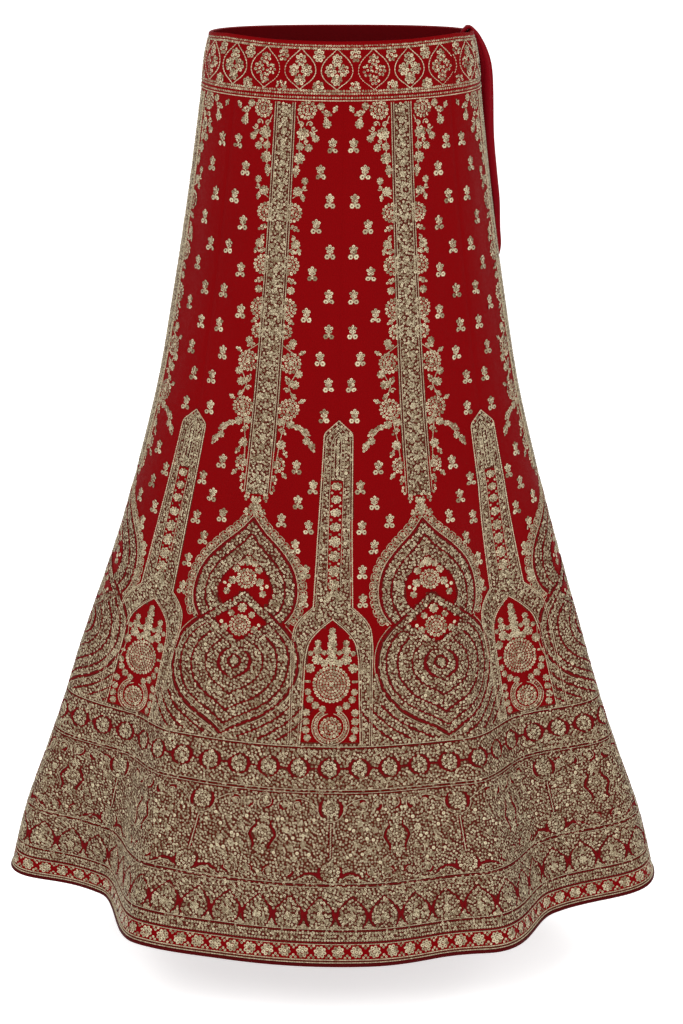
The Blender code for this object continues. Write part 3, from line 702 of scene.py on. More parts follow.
class StripWork:
    """The long strip down a kali's middle, its sprays and the mandorla under it."""

    def build(self) -> Work:
        """Return the work about the kali's middle line."""
        half = Work()
        for inset in (0.0, 2.7 * MM):
            half.cord(between(STRIP_EDGE, inset, 0.061, 0.4985), 1.0 * MM)
        work = half.both_sides()
        for down in np.arange(0.069, 0.490, 0.0118):
            work.add(floret(4.1 * MM, 6).moved(0.0, down))
        work.add(self.sprays(), self.mandorla())
        return work

    def sprays(self) -> Work:
        """Return the flowers, leaves and curls on both sides of the strip."""
        side = Work()
        makers = {
            "rosette": lambda part: rosette(part.size * MM),
            "floret": lambda part: floret(part.size * MM),
            "leaf": lambda part: leaf(part.size * MM, 0.62 * part.size * MM, math.radians(part.heading)),
            "curl": lambda part: curl(part.size * MM, math.radians(part.heading), 4.6),
        }
        for part in SPRAY:
            side.add(makers[part.kind](part).moved(part.aside * MM, part.down * MM))
        for stem in STEMS:
            path = np.array(stem) * MM
            at = np.linspace(0, len(path) - 1, 4 * len(path))
            steps = np.arange(len(path))
            side.cord(np.column_stack([np.interp(at, steps, path[:, axis]) for axis in (0, 1)]), 1.2 * MM,
                      tone=0.45)
        return self.off_strip(side).both_sides()

    @staticmethod
    def off_strip(side: Work) -> Work:
        """Drop the parts of the sprays that lie behind the strip."""
        for kind in Thread:
            side.beads[kind] = [rows[rows[:, ASIDE] > np.maximum(half_at(STRIP_EDGE, rows[:, DOWN]), 0.0)
                                     + np.interp(rows[:, DOWN], *zip(*SPRAY_OVERLAP))]
                                     for rows in side.beads[kind]]
        side.clear = []
        return side

    def mandorla(self) -> Work:
        """Return the two interlaced ogees with their channels, rows of rings and scalloped edge."""
        half = Work()
        half.add(self.scallops())
        apart = lambda x, y: LOWER_OGEE.depth(x, y) > 1.02
        outside = lambda x, y: UPPER_OGEE.depth(x, y) > 1.02
        within = lambda x, y: (UPPER_OGEE.depth(x, y) < 1.01) & (LOWER_OGEE.depth(x, y) < 1.02)
        half.cord(self.clip(UPPER_OGEE.path(1.045), apart), 1.0 * MM)
        for scale, width in ((1.0, 2.8), (0.79, 1.9), (0.53, 1.4)):
            half.channel(self.clip(UPPER_OGEE.path(scale), apart), width * MM)
        half.channel(LOWER_OGEE.path(1.0)[10:], 2.8 * MM)
        for scale, width in ((0.86, 1.9), (0.68, 2.1), (0.453, 1.6)):
            half.channel(self.clip(LOWER_OGEE.path(scale), outside), width * MM)
        half.channel(self.clip(LOWER_OGEE.path(0.25), outside), np.array([1.2, 3.0, 4.2, 3.0, 1.2]) * MM)
        half.channel(self.clip(LOWER_OGEE.path(0.10), outside), 2.0 * MM)
        for scale in (1.045, 0.955):
            half.cord(self.clip(LOWER_OGEE.path(scale), outside), 0.9 * MM, tone=0.5)
        for shape, scales in ((LOWER_OGEE, (1.01, 0.865)), (UPPER_OGEE, (1.0, 0.85))):
            for scale in scales:
                half.channel(self.clip(shape.path(scale), within), 0.9 * MM)
        for scale in (1.17, 1.33, 1.49):
            path = LOWER_OGEE.path(scale)
            half.channel(path[(path[:, 1] > 0.738) & (path[:, 1] < 0.7835) & (path[:, 0] > 0.012)], 2.2 * MM)
        for aside, down, radius in ((13.0, 588.0, 4.6), (16.0, 602.0, 5.0), (8.0, 580.5, 4.4),
                                    (21.0, 615.0, 4.2),
                                    (17.5, 657.0, 4.6), (12.0, 640.0, 4.0)):
            half.add(floret(radius * MM, 6).moved(aside * MM, down * MM))
        half.put(Thread.SEQUIN, np.array([(19.0, 608.5), (24.5, 606.0), (22.0, 651.0), (9.0, 628.5)]) * MM,
                 2.3 * MM, tone=1.0)
        work = half.both_sides()
        work.add(rosette(12.0 * MM).moved(0.0, 0.5985), floret(6.0 * MM).moved(0.0, 0.5780),
                 floret(4.0 * MM).moved(0.0, 0.5675),
                 rosette(13.0 * MM).moved(0.0, 0.6530), floret(5.6 * MM).moved(0.0, 0.6325),
                 floret(5.0 * MM).moved(0.0, 0.695))
        return work

    @staticmethod
    def clip(path: np.ndarray, keep: object) -> np.ndarray:
        """Keep the points of a path where a test holds, always at least two."""
        kept = path[keep(path[:, 0], path[:, 1])]
        return kept if len(kept) > 1 else path[:2]

    @staticmethod
    def scallops() -> Work:
        """Return the row of small lobes along the upper ogee's outer edge."""
        work = leaf(14.0 * MM, 8.0 * MM, math.pi / 2).moved(0.0, 0.5035)
        for aside, down, radius in ((3.6, 515.5, 4.0), (8.6, 521.5, 4.6), (0.0, 521.0, 4.0)):
            work.add(floret(radius * MM, 5).moved(aside * MM, down * MM))
        path = UPPER_OGEE.path(1.135)
        path = path[(path[:, 1] < 0.6650) & (path[:, 1] > 0.5240)
                    & (LOWER_OGEE.depth(path[:, 0], path[:, 1]) > 1.09)]
        stops, turn, spacing = even_stops(path, 10.4 * MM)
        for place, angle in zip(stops, turn):
            corners = np.array([(1.0, 0.62), (0.62, 1.0), (-0.62, 1.0), (-1.0, 0.62), (-1.0, -0.62),
                                (-0.62, -1.0),
                                (0.62, -1.0), (1.0, -0.62)]) * 0.44 * spacing
            turned = np.column_stack([corners[:, 0] * math.cos(angle) - corners[:, 1] * math.sin(angle),
                                      corners[:, 0] * math.sin(angle) + corners[:, 1] * math.cos(angle)])
            work.add(floret(0.38 * spacing, petals=5).moved(*place))
            work.cord(turned + place, 1.1 * MM, closed=True, tone=0.35)
        return work


class TowerWork:
    """The tower and the arch under it, centred on a seam, and the sprigs beside them."""

    def build(self) -> Work:
        """Return the work about the seam."""
        work = Work().add(self.tower(), self.arch(), self.buttis())
        return work

    def tower(self) -> Work:
        """Return the pointed tower: double outline, ring columns, inner panel and florets."""
        half = Work()
        half.cord(outline_path(TOWER_EDGE[:4], steps=16), 1.4 * MM, tone=0.7)
        half.cord(between(TOWER_EDGE, 0.0, 0.433, 0.627), 1.4 * MM, tone=0.7)
        half.cord(between(TOWER_EDGE, 2.6 * MM, 0.4345, 0.625), 0.9 * MM, tone=0.5)
        half.cord([(0.0, 0.4185), (0.0060, 0.4245), (0.0128, 0.4322)], 0.9 * MM, tone=0.5)
        half.cord([(0.0074, 0.4370), (0.0076, 0.4800), (0.0078, 0.6040)], 0.9 * MM, tone=0.5)
        half.cord([(0.0, 0.4262), (0.0040, 0.4310), (0.0067, 0.4370)], 1.0 * MM, tone=0.55)
        half.cord([(0.0, 0.4300), (0.0036, 0.4345), (0.0038, 0.445), (0.0038, 0.474), (0.0026, 0.4785),
                   (0.0, 0.4800)], 1.1 * MM)
        half.add(leaf(12.0 * MM, 6.0 * MM, math.radians(62.0)).moved(1.6 * MM, 0.6085))
        for down in (0.4955, 0.5105, 0.5262, 0.5430, 0.5598, 0.5765, 0.5928):
            half.put(Thread.SEQUIN, [(4.9 * MM, down)], 1.5 * MM, tone=0.45)
        work = half.both_sides()
        work.rings([(0.0, 0.4355), (0.0, 0.4760)], 1.8 * MM, 3.5 * MM, tone=0.7)
        for down, radius, squash in ((0.4880, 6.2, 0.66), (0.5030, 6.0, 0.74), (0.5180, 6.4, 0.70),
                                     (0.5345, 6.6, 0.74),
                                     (0.5515, 6.9, 1.0), (0.5680, 6.9, 1.0), (0.5850, 7.2, 1.0),
                                     (0.6010, 7.2, 1.0)):
            work.add(floret(radius * MM, squash=squash).moved(0.0, down))
        return work

    def arch(self) -> Work:
        """Return the arch with its pillars, and the sprig, medallions and crescents inside it."""
        half = Work()
        for inset, tone in ((0.0, 0.7), (2.4 * MM, 0.5)):
            half.cord(outline_path([(d, h - inset) for d, h in ARCH_OUTER], steps=50), 1.2 * MM, tone=tone)
        inner = outline_path(ARCH_INNER, steps=50)
        half.cord(inner + (0.6 * MM, 0.0), 1.3 * MM, tone=0.7)
        half.cord(inner + (3.2 * MM, 0.0), 0.9 * MM, tone=0.5)
        for aside, down, radius in ((16.0, 668, 4.0), (16.0, 676.5, 5.4), (16.5, 687.0, 6.2),
                                    (24.0, 680, 3.2), (24.4, 697, 5.8),
                                    (8.6, 679.0, 3.0), (8.6, 691.0, 4.6), (26.5, 724.5, 4.0),
                                    (24.0, 733, 4.4), (17.5, 740, 4.6), (9.5, 744.0, 4.2),
                                    (27.5, 748.5, 4.6), (28.0, 758.5, 4.6), (28.0, 768.5, 4.6),
                                    (26.0, 777.5, 4.4)):
            half.add(floret(radius * MM).moved(aside * MM, down * MM))
        half.add(leaf(6.0 * MM, 4.0 * MM, math.pi).moved(30.0 * MM, 0.7125))
        half.rings(circle(18.0 * MM, -1.15, 2.7) + (0.0, 0.7645), 1.8 * MM, 3.5 * MM)
        half.cord(circle(21.0 * MM, -1.25, 2.8) + (0.0, 0.7645), 1.1 * MM)
        half.cord(circle(15.4 * MM, -1.35, 2.9) + (0.0, 0.7645), 1.1 * MM)
        work = half.both_sides()
        for down, radius in ((653.5, 4.0), (660.5, 5.2), (668.5, 6.0), (677.5, 6.6), (687.5, 6.8)):
            work.add(floret(radius * MM).moved(0.0, down * MM))
        work.add(rosette(21.6 * MM).moved(0.0, 0.7155), rosette(12.8 * MM).moved(0.0, 0.7655))
        return work

    def buttis(self) -> Work:
        """Return the pairs of sprigs beside the seam."""
        side = Work()
        for place in UPPER_BUTTIS + LOWER_BUTTIS:
            side.add(butti().moved(place.aside, place.down))
        side.add(leaf(8.0 * MM, 6.0 * MM, math.radians(60.0)).moved(7.0 * MM, 0.0640))
        return side.both_sides()


class BorderWork:
    """The bands round the hem, laid out along one kali from seam to seam."""

    roundel_pitch = 0.0335
    leaf_pitch = 0.0378
    floret_pitch = 0.0206
    leaf_shift = 0.0070
    beaded_downs = (1.0018, 1.0098)
    leaf_outline = ((0.9592, 0.0), (0.9645, 0.0056), (0.9706, 0.0118), (0.9767, 0.0160), (0.9828, 0.0174),
                    (0.989, 0.0158), (0.9950, 0.0118))

    def __init__(self, surface: ClothSurface, kali: int) -> None:
        """Keep the kali that the border is laid on."""
        self.surface, self.kali = surface, kali

    def width(self, down: float) -> float:
        """Give the kali's width at one length down."""
        return float(self.surface.width(self.kali, down))

    def line(self, down: float) -> np.ndarray:
        """Give a path from seam to seam at one length down."""
        return np.array([(0.0, down), (self.width(down), down)])

    def build(self) -> Work:
        """Return the border's lines and motifs, in metres from the kali's first seam."""
        work = Work()
        for down, width in ((0.7895, 1.3), (0.8392, 1.0), (0.8424, 1.0), (0.9470, 1.3), (0.9990, 1.1),
                            (1.0124, 1.6)):
            work.channel(self.line(down), width * MM)
        for down, width in ((0.7875, 1.1), (0.8372, 0.9), (0.8408, 0.8), (0.9448, 0.8), (0.9494, 0.8),
                            (0.9972, 1.0),
                            (1.0144, 1.0), (1.0322, 1.4), (1.0354, 1.4)):
            work.cord(self.line(down), width * MM, tone=0.65)
        work.add(self.roundels(), self.scroll_band(), self.leaves(), self.hem_florets())
        return work

    def spread(self, down: float, pitch: float, offset: float = 0.0) -> tuple[np.ndarray, float]:
        """Give evenly spread places from before the first seam to past the second, and their pitch."""
        width = self.width(down)
        count = max(1, int(round(width / pitch)))
        return (np.arange(-1, count + 2) + offset) * width / count, width / count

    def fitted(self, work: Work, level: float) -> Work:
        """Let work that was spread out at one level follow the kali's width, and cut it at the seams."""
        def fit(rows: np.ndarray, cut: bool) -> np.ndarray:
            """Fit some rows."""
            rows, widths = rows.copy(), self.surface.width(self.kali, rows[:, DOWN])
            rows[:, ASIDE] = rows[:, ASIDE] * widths / self.width(level) + lean(rows[:, DOWN])
            return rows[(rows[:, ASIDE] >= 0.0) & (rows[:, ASIDE] < widths)] if cut else rows
        return Work({kind: [fit(rows, True) for rows in parts] for kind, parts in work.beads.items()},
                    [fit(rows, False) for rows in work.clear])

    def roundels(self) -> Work:
        """Return the row of round flowers in red lenses."""
        work, level = Work(), 0.8125
        places, pitch = self.spread(level, self.roundel_pitch)
        lens = Work()
        lens.channel(circle(11.2 * MM, -1.5, 3.0), np.array([1.5, 2.4, 4.8, 2.4, 1.5]) * MM)
        lens.channel([(12.0 * MM, 0.0), (0.5 * pitch, 0.0)], 2.0 * MM)
        one = Work().add(rosette(9.2 * MM), lens.both_sides())
        for place in places:
            work.add(one.moved(place, level))
        return self.fitted(work, level)

    def scroll_band(self) -> Work:
        """Return the medallions, volutes, vases and wave lines of the widest band."""
        work, level = Work(), 0.888
        half = 0.5 * self.width(level)
        sides = Work()
        sides.channel(circle(13.0 * MM, -1.0, 2.0), np.array([0.8, 2.8, 4.2, 2.8, 0.8]) * MM)
        sides.cord(circle(15.8 * MM, -0.1, 1.7), 0.9 * MM, tone=0.7)
        sides.cord(np.array([(15.0, 0.5), (21.0, -4.5), (28.0, -8.5), (37.0, -11.0), (45.0, -9.5)]) * MM,
                   0.9 * MM, tone=0.7)
        medallion = Work().add(rosette(10.2 * MM), sides.both_sides())
        wave = Work()
        wave.channel(np.array([(11.0, 6.0), (14.0, 3.5), (19.0, 1.6), (25.0, 1.8), (31.0, 5.2), (38.0, 9.6)])
                     * MM,
                     np.array([4.6, 3.4, 2.8, 2.8, 2.2, 1.0]) * MM)
        wave.channel(circle(12.2 * MM, -0.5, 1.4), np.array([1.0, 3.2, 3.0, 1.0]) * MM)
        wave.cord(np.array([(13.5, 8.5), (18.0, 5.0), (25.0, 5.0), (31.0, 8.4), (38.0, 12.0), (48.0, 12.4),
                            (54.0, 9.0)]) * MM,
                  0.9 * MM, tone=0.7)
        low = Work().add(rosette(11.0 * MM), wave.both_sides())
        edge = Work()
        edge.cord([(0.0, 0.8775), (0.0, 0.9165)], 1.1 * MM, tone=0.8)
        edge.channel([(1.7 * MM, 0.8775), (1.7 * MM, 0.9165)], 1.2 * MM)
        upright = edge.both_sides()
        for seat in (0.0, half, 2.0 * half):
            work.add(medallion.moved(seat, 0.8585), low.moved(seat, 0.9315), upright.moved(seat, 0.0))
        for start in (0.0, half):
            work.add(self.scroll(half).moved(start + 0.5 * half, 0.0))
        return self.fitted(work, level)

    @staticmethod
    def scroll(half: float) -> Work:
        """Return the volutes and the vase between two medallions, about the vase's middle."""
        work, side = Work(), Work()
        side.channel(np.array([(9.0, 873.5), (8.0, 880.0), (12.5, 886.5), (14.5, 892.0), (10.5, 899.0),
                               (8.5, 904.0),
                               (10.0, 911.5)]) * MM, np.array([1.2, 2.4, 2.6, 2.6, 2.4, 1.2]) * MM)
        side.cord(np.array([(14.0, 874.0), (11.5, 880.5), (15.5, 886.0), (17.2, 892.5), (13.0, 900.0),
                            (11.0, 905.0)]) * MM,
                  0.8 * MM, tone=0.5)
        thick = np.array([0.8, 2.6, 3.4, 2.6, 0.8]) * MM
        for aside, down, radius, start, red in ((22.0, 0.8550, 8.0, 2.4, 1.2), (12.0, 0.9325, 8.2, 0.2, 2.4),
                                                (31.5, 0.9325, 8.0, 2.6, -0.6),
                                                (38.0, 0.8555, 7.6, 0.6, 3.6)):
            place = np.array((aside * MM, down))
            side.cord(circle(radius * MM, start, 5.0, 0.40 * radius * MM) + place, 0.9 * MM, tone=0.7)
            side.channel(circle((radius - 2.4) * MM, red, 2.4) + place, thick)
            side.add(floret(3.4 * MM, 6).moved(*place))
        side.add(floret(4.4 * MM, 6).moved(25.5 * MM, 0.8840), floret(4.0 * MM, 6).moved(33.0 * MM, 0.9060),
                 floret(3.6 * MM, 6).moved(22.0 * MM, 0.9050), floret(4.2 * MM, 6).moved(42.0 * MM, 0.8760),
                 floret(4.0 * MM, 6).moved(47.0 * MM, 0.9000), floret(3.6 * MM, 6).moved(0.25 * half, 0.9180))
        spots = ((21.0, 872.0), (35.0, 893.5), (28.0, 895.0), (41.0, 911.0), (50.0, 884.0), (54.0, 912.0),
                 (58.0, 872.0))
        side.put(Thread.SEQUIN, np.array(spots) * MM, 2.3 * MM, tone=1.0, height=0.0013)
        side.keep_clear(np.array(spots) * MM, 3.4 * MM)
        work.add(side.both_sides(), rosette(6.2 * MM).moved(0.0, 0.8715),
                 rosette(10.0 * MM).moved(0.0, 0.8895),
                 rosette(6.6 * MM).moved(0.0, 0.9080), floret(4.0 * MM, 6).moved(0.0, 0.8533))
        work.cord(circle(10.2 * MM, 2.2, 5.6, 4.6 * MM) + (0.0, 0.8533), 0.9 * MM, tone=0.75)
        work.channel(circle(7.2 * MM, -0.9, 2.8) + (0.0, 0.8533), thick)
        return work

    def leaves(self) -> Work:
        """Return the row of pointed leaves, with red outlines that cross between them."""
        work, level = Work(), 0.982
        places, pitch = self.spread(level, self.leaf_pitch, 0.5)
        stretch = pitch / self.leaf_pitch
        side = Work()
        path = outline_path([(down, half * stretch) for down, half in self.leaf_outline], steps=36)
        side.channel(path, np.array([1.5, 1.5, 1.6, 1.8, 2.5, 4.6, 3.0, 1.8, 1.4]) * MM)
        side.add(floret(3.4 * MM, 6).moved(0.5 * pitch, 0.9945))
        one = side.both_sides()
        one.add(floret(5.2 * MM).moved(0.0, 0.9835), floret(3.2 * MM, 6).moved(0.0, 0.9735),
                floret(3.2 * MM, 6).moved(-8.0 * MM, 0.9880), floret(3.2 * MM, 6).moved(8.0 * MM, 0.9880))
        for place in places:
            work.add(one.moved(place + self.leaf_shift, 0.0))
        return self.fitted(work, level)

    def hem_florets(self) -> Work:
        """Return the florets on the red ground above the binding, with small rings between them."""
        work, level = Work(), 1.0225
        places, pitch = self.spread(level, self.floret_pitch, 0.5)
        for place in places:
            work.add(floret(7.4 * MM).moved(place, 1.0232))
        trefoil = np.array([(0.0, 0.0), (-2.6 * MM, 2.4 * MM), (2.6 * MM, 2.4 * MM)])
        for place in places + 0.5 * pitch:
            work.put(Thread.SEQUIN, trefoil + (place, 1.0272), 1.6 * MM, tone=0.55)
            work.put(Thread.SEQUIN, trefoil * (1.0, -1.0) + (place, 1.0185), 1.6 * MM, tone=0.55)
        work = self.fitted(work, level)
        return work.add(*(self.beaded_line(down) for down in self.beaded_downs))

    def beaded_line(self, down: float) -> Work:
        """Return a row of rings from seam to seam."""
        work = Work()
        work.rings(self.line(down), 1.5 * MM, 3.2 * MM)
        return work


class BandWork:
    """The embroidery round the waistband, in metres round from the front seam."""

    ogee_pitch = 0.0404
    ogee = ((0.0062, 0.0), (0.0105, 0.0048), (0.0165, 0.0122), (0.0225, 0.0163), (0.0270, 0.0172),
            (0.0315, 0.0160),
            (0.0375, 0.0115), (0.0425, 0.0050), (0.0468, 0.0))

    def build(self, start: float, end: float, first: float) -> Work:
        """Return the work between two joints.

        Args:
            start: Where the length of band starts, in metres round.
            end: Where it ends.
            first: Where one of its pointed frames is centred.

        Returns:
            The work.
        """
        work = Work()
        side = Work()
        side.cord(outline_path(self.ogee, steps=30), 1.2 * MM, tone=0.7)
        frame = side.both_sides()
        for aside, down in ((-7.0, 26.6), (7.0, 26.6), (0.0, 17.2), (0.0, 36.2)):
            frame.add(floret(6.6 * MM, 7).moved(aside * MM, down * MM))
        count = int((end - start) / self.ogee_pitch) + 3
        low = math.floor((start - first) / self.ogee_pitch) - 1
        for step in range(low, low + count + 2):
            centre = first + step * self.ogee_pitch
            work.add(frame.moved(centre, 0.0))
            gap = centre + 0.5 * self.ogee_pitch
            work.add(floret(6.8 * MM, 7).moved(gap, 0.0128), floret(6.8 * MM, 7).moved(gap, 0.0432))
        for down, radius, pitch in ((0.0032, 1.5, 2.9), (0.0062, 1.4, 2.7), (0.0478, 1.5, 2.9),
                                    (0.0508, 1.4, 2.7), (0.0552, 1.2, 2.9)):
            work.rings([(start, down), (end, down)], radius * MM, pitch * MM)
        work.cord([(start, 0.0584), (end, 0.0584)], 1.3 * MM, tone=0.7)
        for kind in Thread:
            work.beads[kind] = [rows[(rows[:, ASIDE] > start + 0.9 * MM) & (rows[:, ASIDE] < end - 0.9 * MM)]
                                for rows in work.beads[kind]]
        return work


@dataclass
class Filling:
    """Loose rings that fill the worked ground between the motifs.

    Attributes:
        pitch: The spacing of the rings, in metres.
        radius: The radius of a ring, in metres.
        height: How high a ring stands, in metres.
        tone: How bright a ring is, from 0 to 1.
        start: Where the filling starts down the cloth, in metres.
        end: Where it ends.
        scroll: The part of it, down the cloth, in which the rings are smaller and more of them bright.
        scroll_scale: The rings' size there, as a share of the others'.
        scroll_bright: The share of large bright rings there.
        bright: The share of large bright rings elsewhere.
        bright_radius: The radius of a large bright ring, in metres.
        bright_height: How high it stands, in metres.
        strip_inset: How far the filling keeps from the long strip's edges, in metres.
    """

    pitch: float = 2.60 * MM
    radius: float = 1.58 * MM
    height: float = 0.8 * MM
    tone: float = 0.46
    start: float = 0.0625
    end: float = 1.0118
    scroll: tuple[float, float] = (0.8440, 0.9440)
    scroll_scale: float = 0.92
    scroll_bright: float = 1.0 / 130.0
    bright: float = 1.0 / 320.0
    bright_radius: float = 2.1 * MM
    bright_height: float = 1.3 * MM
    strip_inset: float = 3.9 * MM

    def candidates(self, width: float, random: np.random.Generator) -> np.ndarray:
        """Give loose places over a strip of cloth, closer together than the rings will be."""
        step = 0.40 * self.pitch
        across, down = np.meshgrid(np.arange(0.0, width, step), np.arange(self.start, self.end, step))
        places = np.column_stack([across.ravel(), down.ravel()])
        return places + random.uniform(-0.6 * step, 0.6 * step, places.shape)

    @staticmethod
    def off_clear(places: np.ndarray, clear: np.ndarray) -> np.ndarray:
        """Drop the places that lie within a clearing."""
        tree = kdtree.KDTree(len(places))
        for index, (across, down) in enumerate(places):
            tree.insert((across, down, 0.0), index)
        tree.balance()
        kept = np.ones(len(places), bool)
        for across, down, radius in clear:
            for _, index, _ in tree.find_range((across, down, 0.0), radius):
                kept[index] = False
        return places[kept]

    @staticmethod
    def thin_out(places: np.ndarray, spacing: float) -> np.ndarray:
        """Drop the places that lie too close to an earlier one."""
        tree = kdtree.KDTree(len(places))
        for index, (across, down) in enumerate(places):
            tree.insert((across, down, 0.0), index)
        tree.balance()
        kept = np.ones(len(places), bool)
        for index, (across, down) in enumerate(places):
            if kept[index]:
                for _, other, _ in tree.find_range((across, down, 0.0), spacing):
                    if other > index:
                        kept[other] = False
        return places[kept]


def regions(from_middle: np.ndarray, from_seam: np.ndarray, down: np.ndarray) -> dict[str, np.ndarray]:
    """Say which parts of the design these places lie in.

    Args:
        from_middle: Metres from the kali's middle line.
        from_seam: Metres from the nearer seam.
        down: Metres down the cloth.

    Returns:
        A mask for each part of the design.
    """
    lower_depth, upper_depth = LOWER_OGEE.depth(from_middle, down), UPPER_OGEE.depth(from_middle, down)
    upper, lower = (upper_depth < 1.0) & (down < 0.69), lower_depth < 1.0
    pillar = from_seam < half_at(ARCH_OUTER, down)
    opening = from_seam < half_at(ARCH_INNER, down)
    tower = from_seam < half_at(TOWER_EDGE, down)
    tower_core = tower & (from_seam < 7.6 * MM) & (down > 0.480) & (down < 0.608)
    diamond = upper & lower & (lower_depth < 0.865) & (upper_depth < 0.85)
    heart = upper & ~lower & (upper_depth < 0.53)
    top = 0.7040 + 1.1 * np.maximum(0.0, np.abs(from_middle) - 0.076)
    corner = (down > top) & (down < 0.7862) & ~pillar & ~lower & ~upper
    scallop = (upper_depth > 1.06) & (upper_depth < 1.12) & (down > 0.523) & (down < 0.668) & (lower_depth
                                                                                               > 1.07)
    return {
        "strip": np.abs(from_middle) < half_at(STRIP_EDGE, down),
        "upper": upper & ~lower & ~heart, "lower": lower & ~upper & ~pillar,
        "middle": upper & lower & ~diamond,
        "corner": corner, "pillar": pillar & ~opening, "opening": opening, "tower": tower & ~tower_core,
        "border": (down > 0.7885) & (down < 1.0130), "scallop": scallop,
    }


FILLED = ("pillar", "tower", "border", "middle", "upper", "lower", "corner", "scallop")


class Embroidery:
    """Lays the whole design on the kalis and turns it into pieces."""

    def __init__(self, surface: ClothSurface) -> None:
        """Draw the motifs once, for use on every kali."""
        self.surface = surface
        self.filling = Filling()
        self.middle = StripWork().build()
        self.seam = TowerWork().build()

    def on_kali(self, kali: int) -> Work:
        """Return one kali's work, in metres from its first seam."""
        whole = Work()
        whole.add(self.shifted(self.middle, kali, 0.5, None), self.shifted(self.seam, kali, 0.0, 1.0),
                  self.shifted(self.seam, kali, 1.0, -1.0), BorderWork(self.surface, kali).build())
        self.extra_buttis(whole, kali)
        self.fill(whole, kali)
        return whole

    def shifted(self, work: Work, kali: int, share: float, side: float | None) -> Work:
        """Bring work from its own line to the kali's first seam, keeping one side of it."""
        def bring(rows: np.ndarray, cut: bool) -> np.ndarray:
            """Shift some rows."""
            rows = rows.copy()
            widths = self.surface.width(kali, rows[:, 1])
            rows[:, 0] += share * widths
            if side is not None:
                rows[:, 0] += lean(rows[:, 1])
                if cut:
                    rows = rows[(rows[:, 0] >= 0.0) & (rows[:, 0] < widths)]
            return rows
        return Work({kind: [bring(rows, True) for rows in parts] for kind, parts in work.beads.items()},
                    [bring(rows, False) for rows in work.clear])

    def extra_buttis(self, work: Work, kali: int) -> None:
        """Scatter more sprigs where a wide kali leaves more red ground."""
        for row, down in enumerate(np.arange(0.150, 0.60, 0.0262)):
            half = 0.5 * float(self.surface.width(kali, down))
            spray = 0.036 if down < 0.33 else 0.046
            if down > 0.52:
                spray = float(np.interp(down, (0.52, 0.56, 0.60), (0.030, 0.058, 0.072)))
            start = 0.046 + 0.010 * (row % 2) if down < 0.41 else 0.066 + 0.012 * (row % 2)
            for aside in np.arange(start, half - spray, 0.026):
                work.add(butti().moved(aside, down), butti().moved(2.0 * half - aside, down))

    def fill(self, work: Work, kali: int) -> None:
        """Fill the worked ground with loose rings, off the lines and the motifs."""
        random, filling = np.random.default_rng(SEED + kali), self.filling
        places = filling.candidates(float(np.max(self.surface.widths[:, kali])), random)
        inside = (places[:, 0] >= 0.0) & (places[:, 0] < self.surface.width(kali, places[:, 1]))
        places = random.permutation(places[inside])
        widths = self.surface.width(kali, places[:, 1])
        middle = places[:, 0] - 0.5 * widths
        where = regions(middle, off_seam(places[:, 0], widths, places[:, 1]), places[:, 1])
        strip = where["strip"] & (np.abs(middle) < half_at(STRIP_EDGE, places[:, 1]) - filling.strip_inset)
        filled = strip | np.any([where[name] for name in FILLED], 0)
        places = filling.off_clear(places[filled], np.vstack(work.clear))
        places = filling.thin_out(places, filling.pitch)
        scroll = (places[:, 1] > filling.scroll[0]) & (places[:, 1] < filling.scroll[1])
        scale = np.where(scroll, filling.scroll_scale, 1.0) * filling.radius
        rows = np.zeros((len(places), FIELDS))
        rows[:, :2] = places
        radius = scale * random.uniform(0.82, 1.16, len(places))
        rows[:, TURN] = random.uniform(0.0, math.pi, len(places))
        rows[:, LENGTH] = rows[:, WIDTH] = radius
        rows[:, HEIGHT], rows[:, TONE] = filling.height, filling.tone
        bright = random.random(len(places)) < np.where(scroll, filling.scroll_bright, filling.bright)
        rows[bright, LENGTH] = rows[bright, WIDTH] = filling.bright_radius
        rows[bright, HEIGHT], rows[bright, TONE] = filling.bright_height, 1.0
        work.beads[Thread.SEQUIN].append(rows)


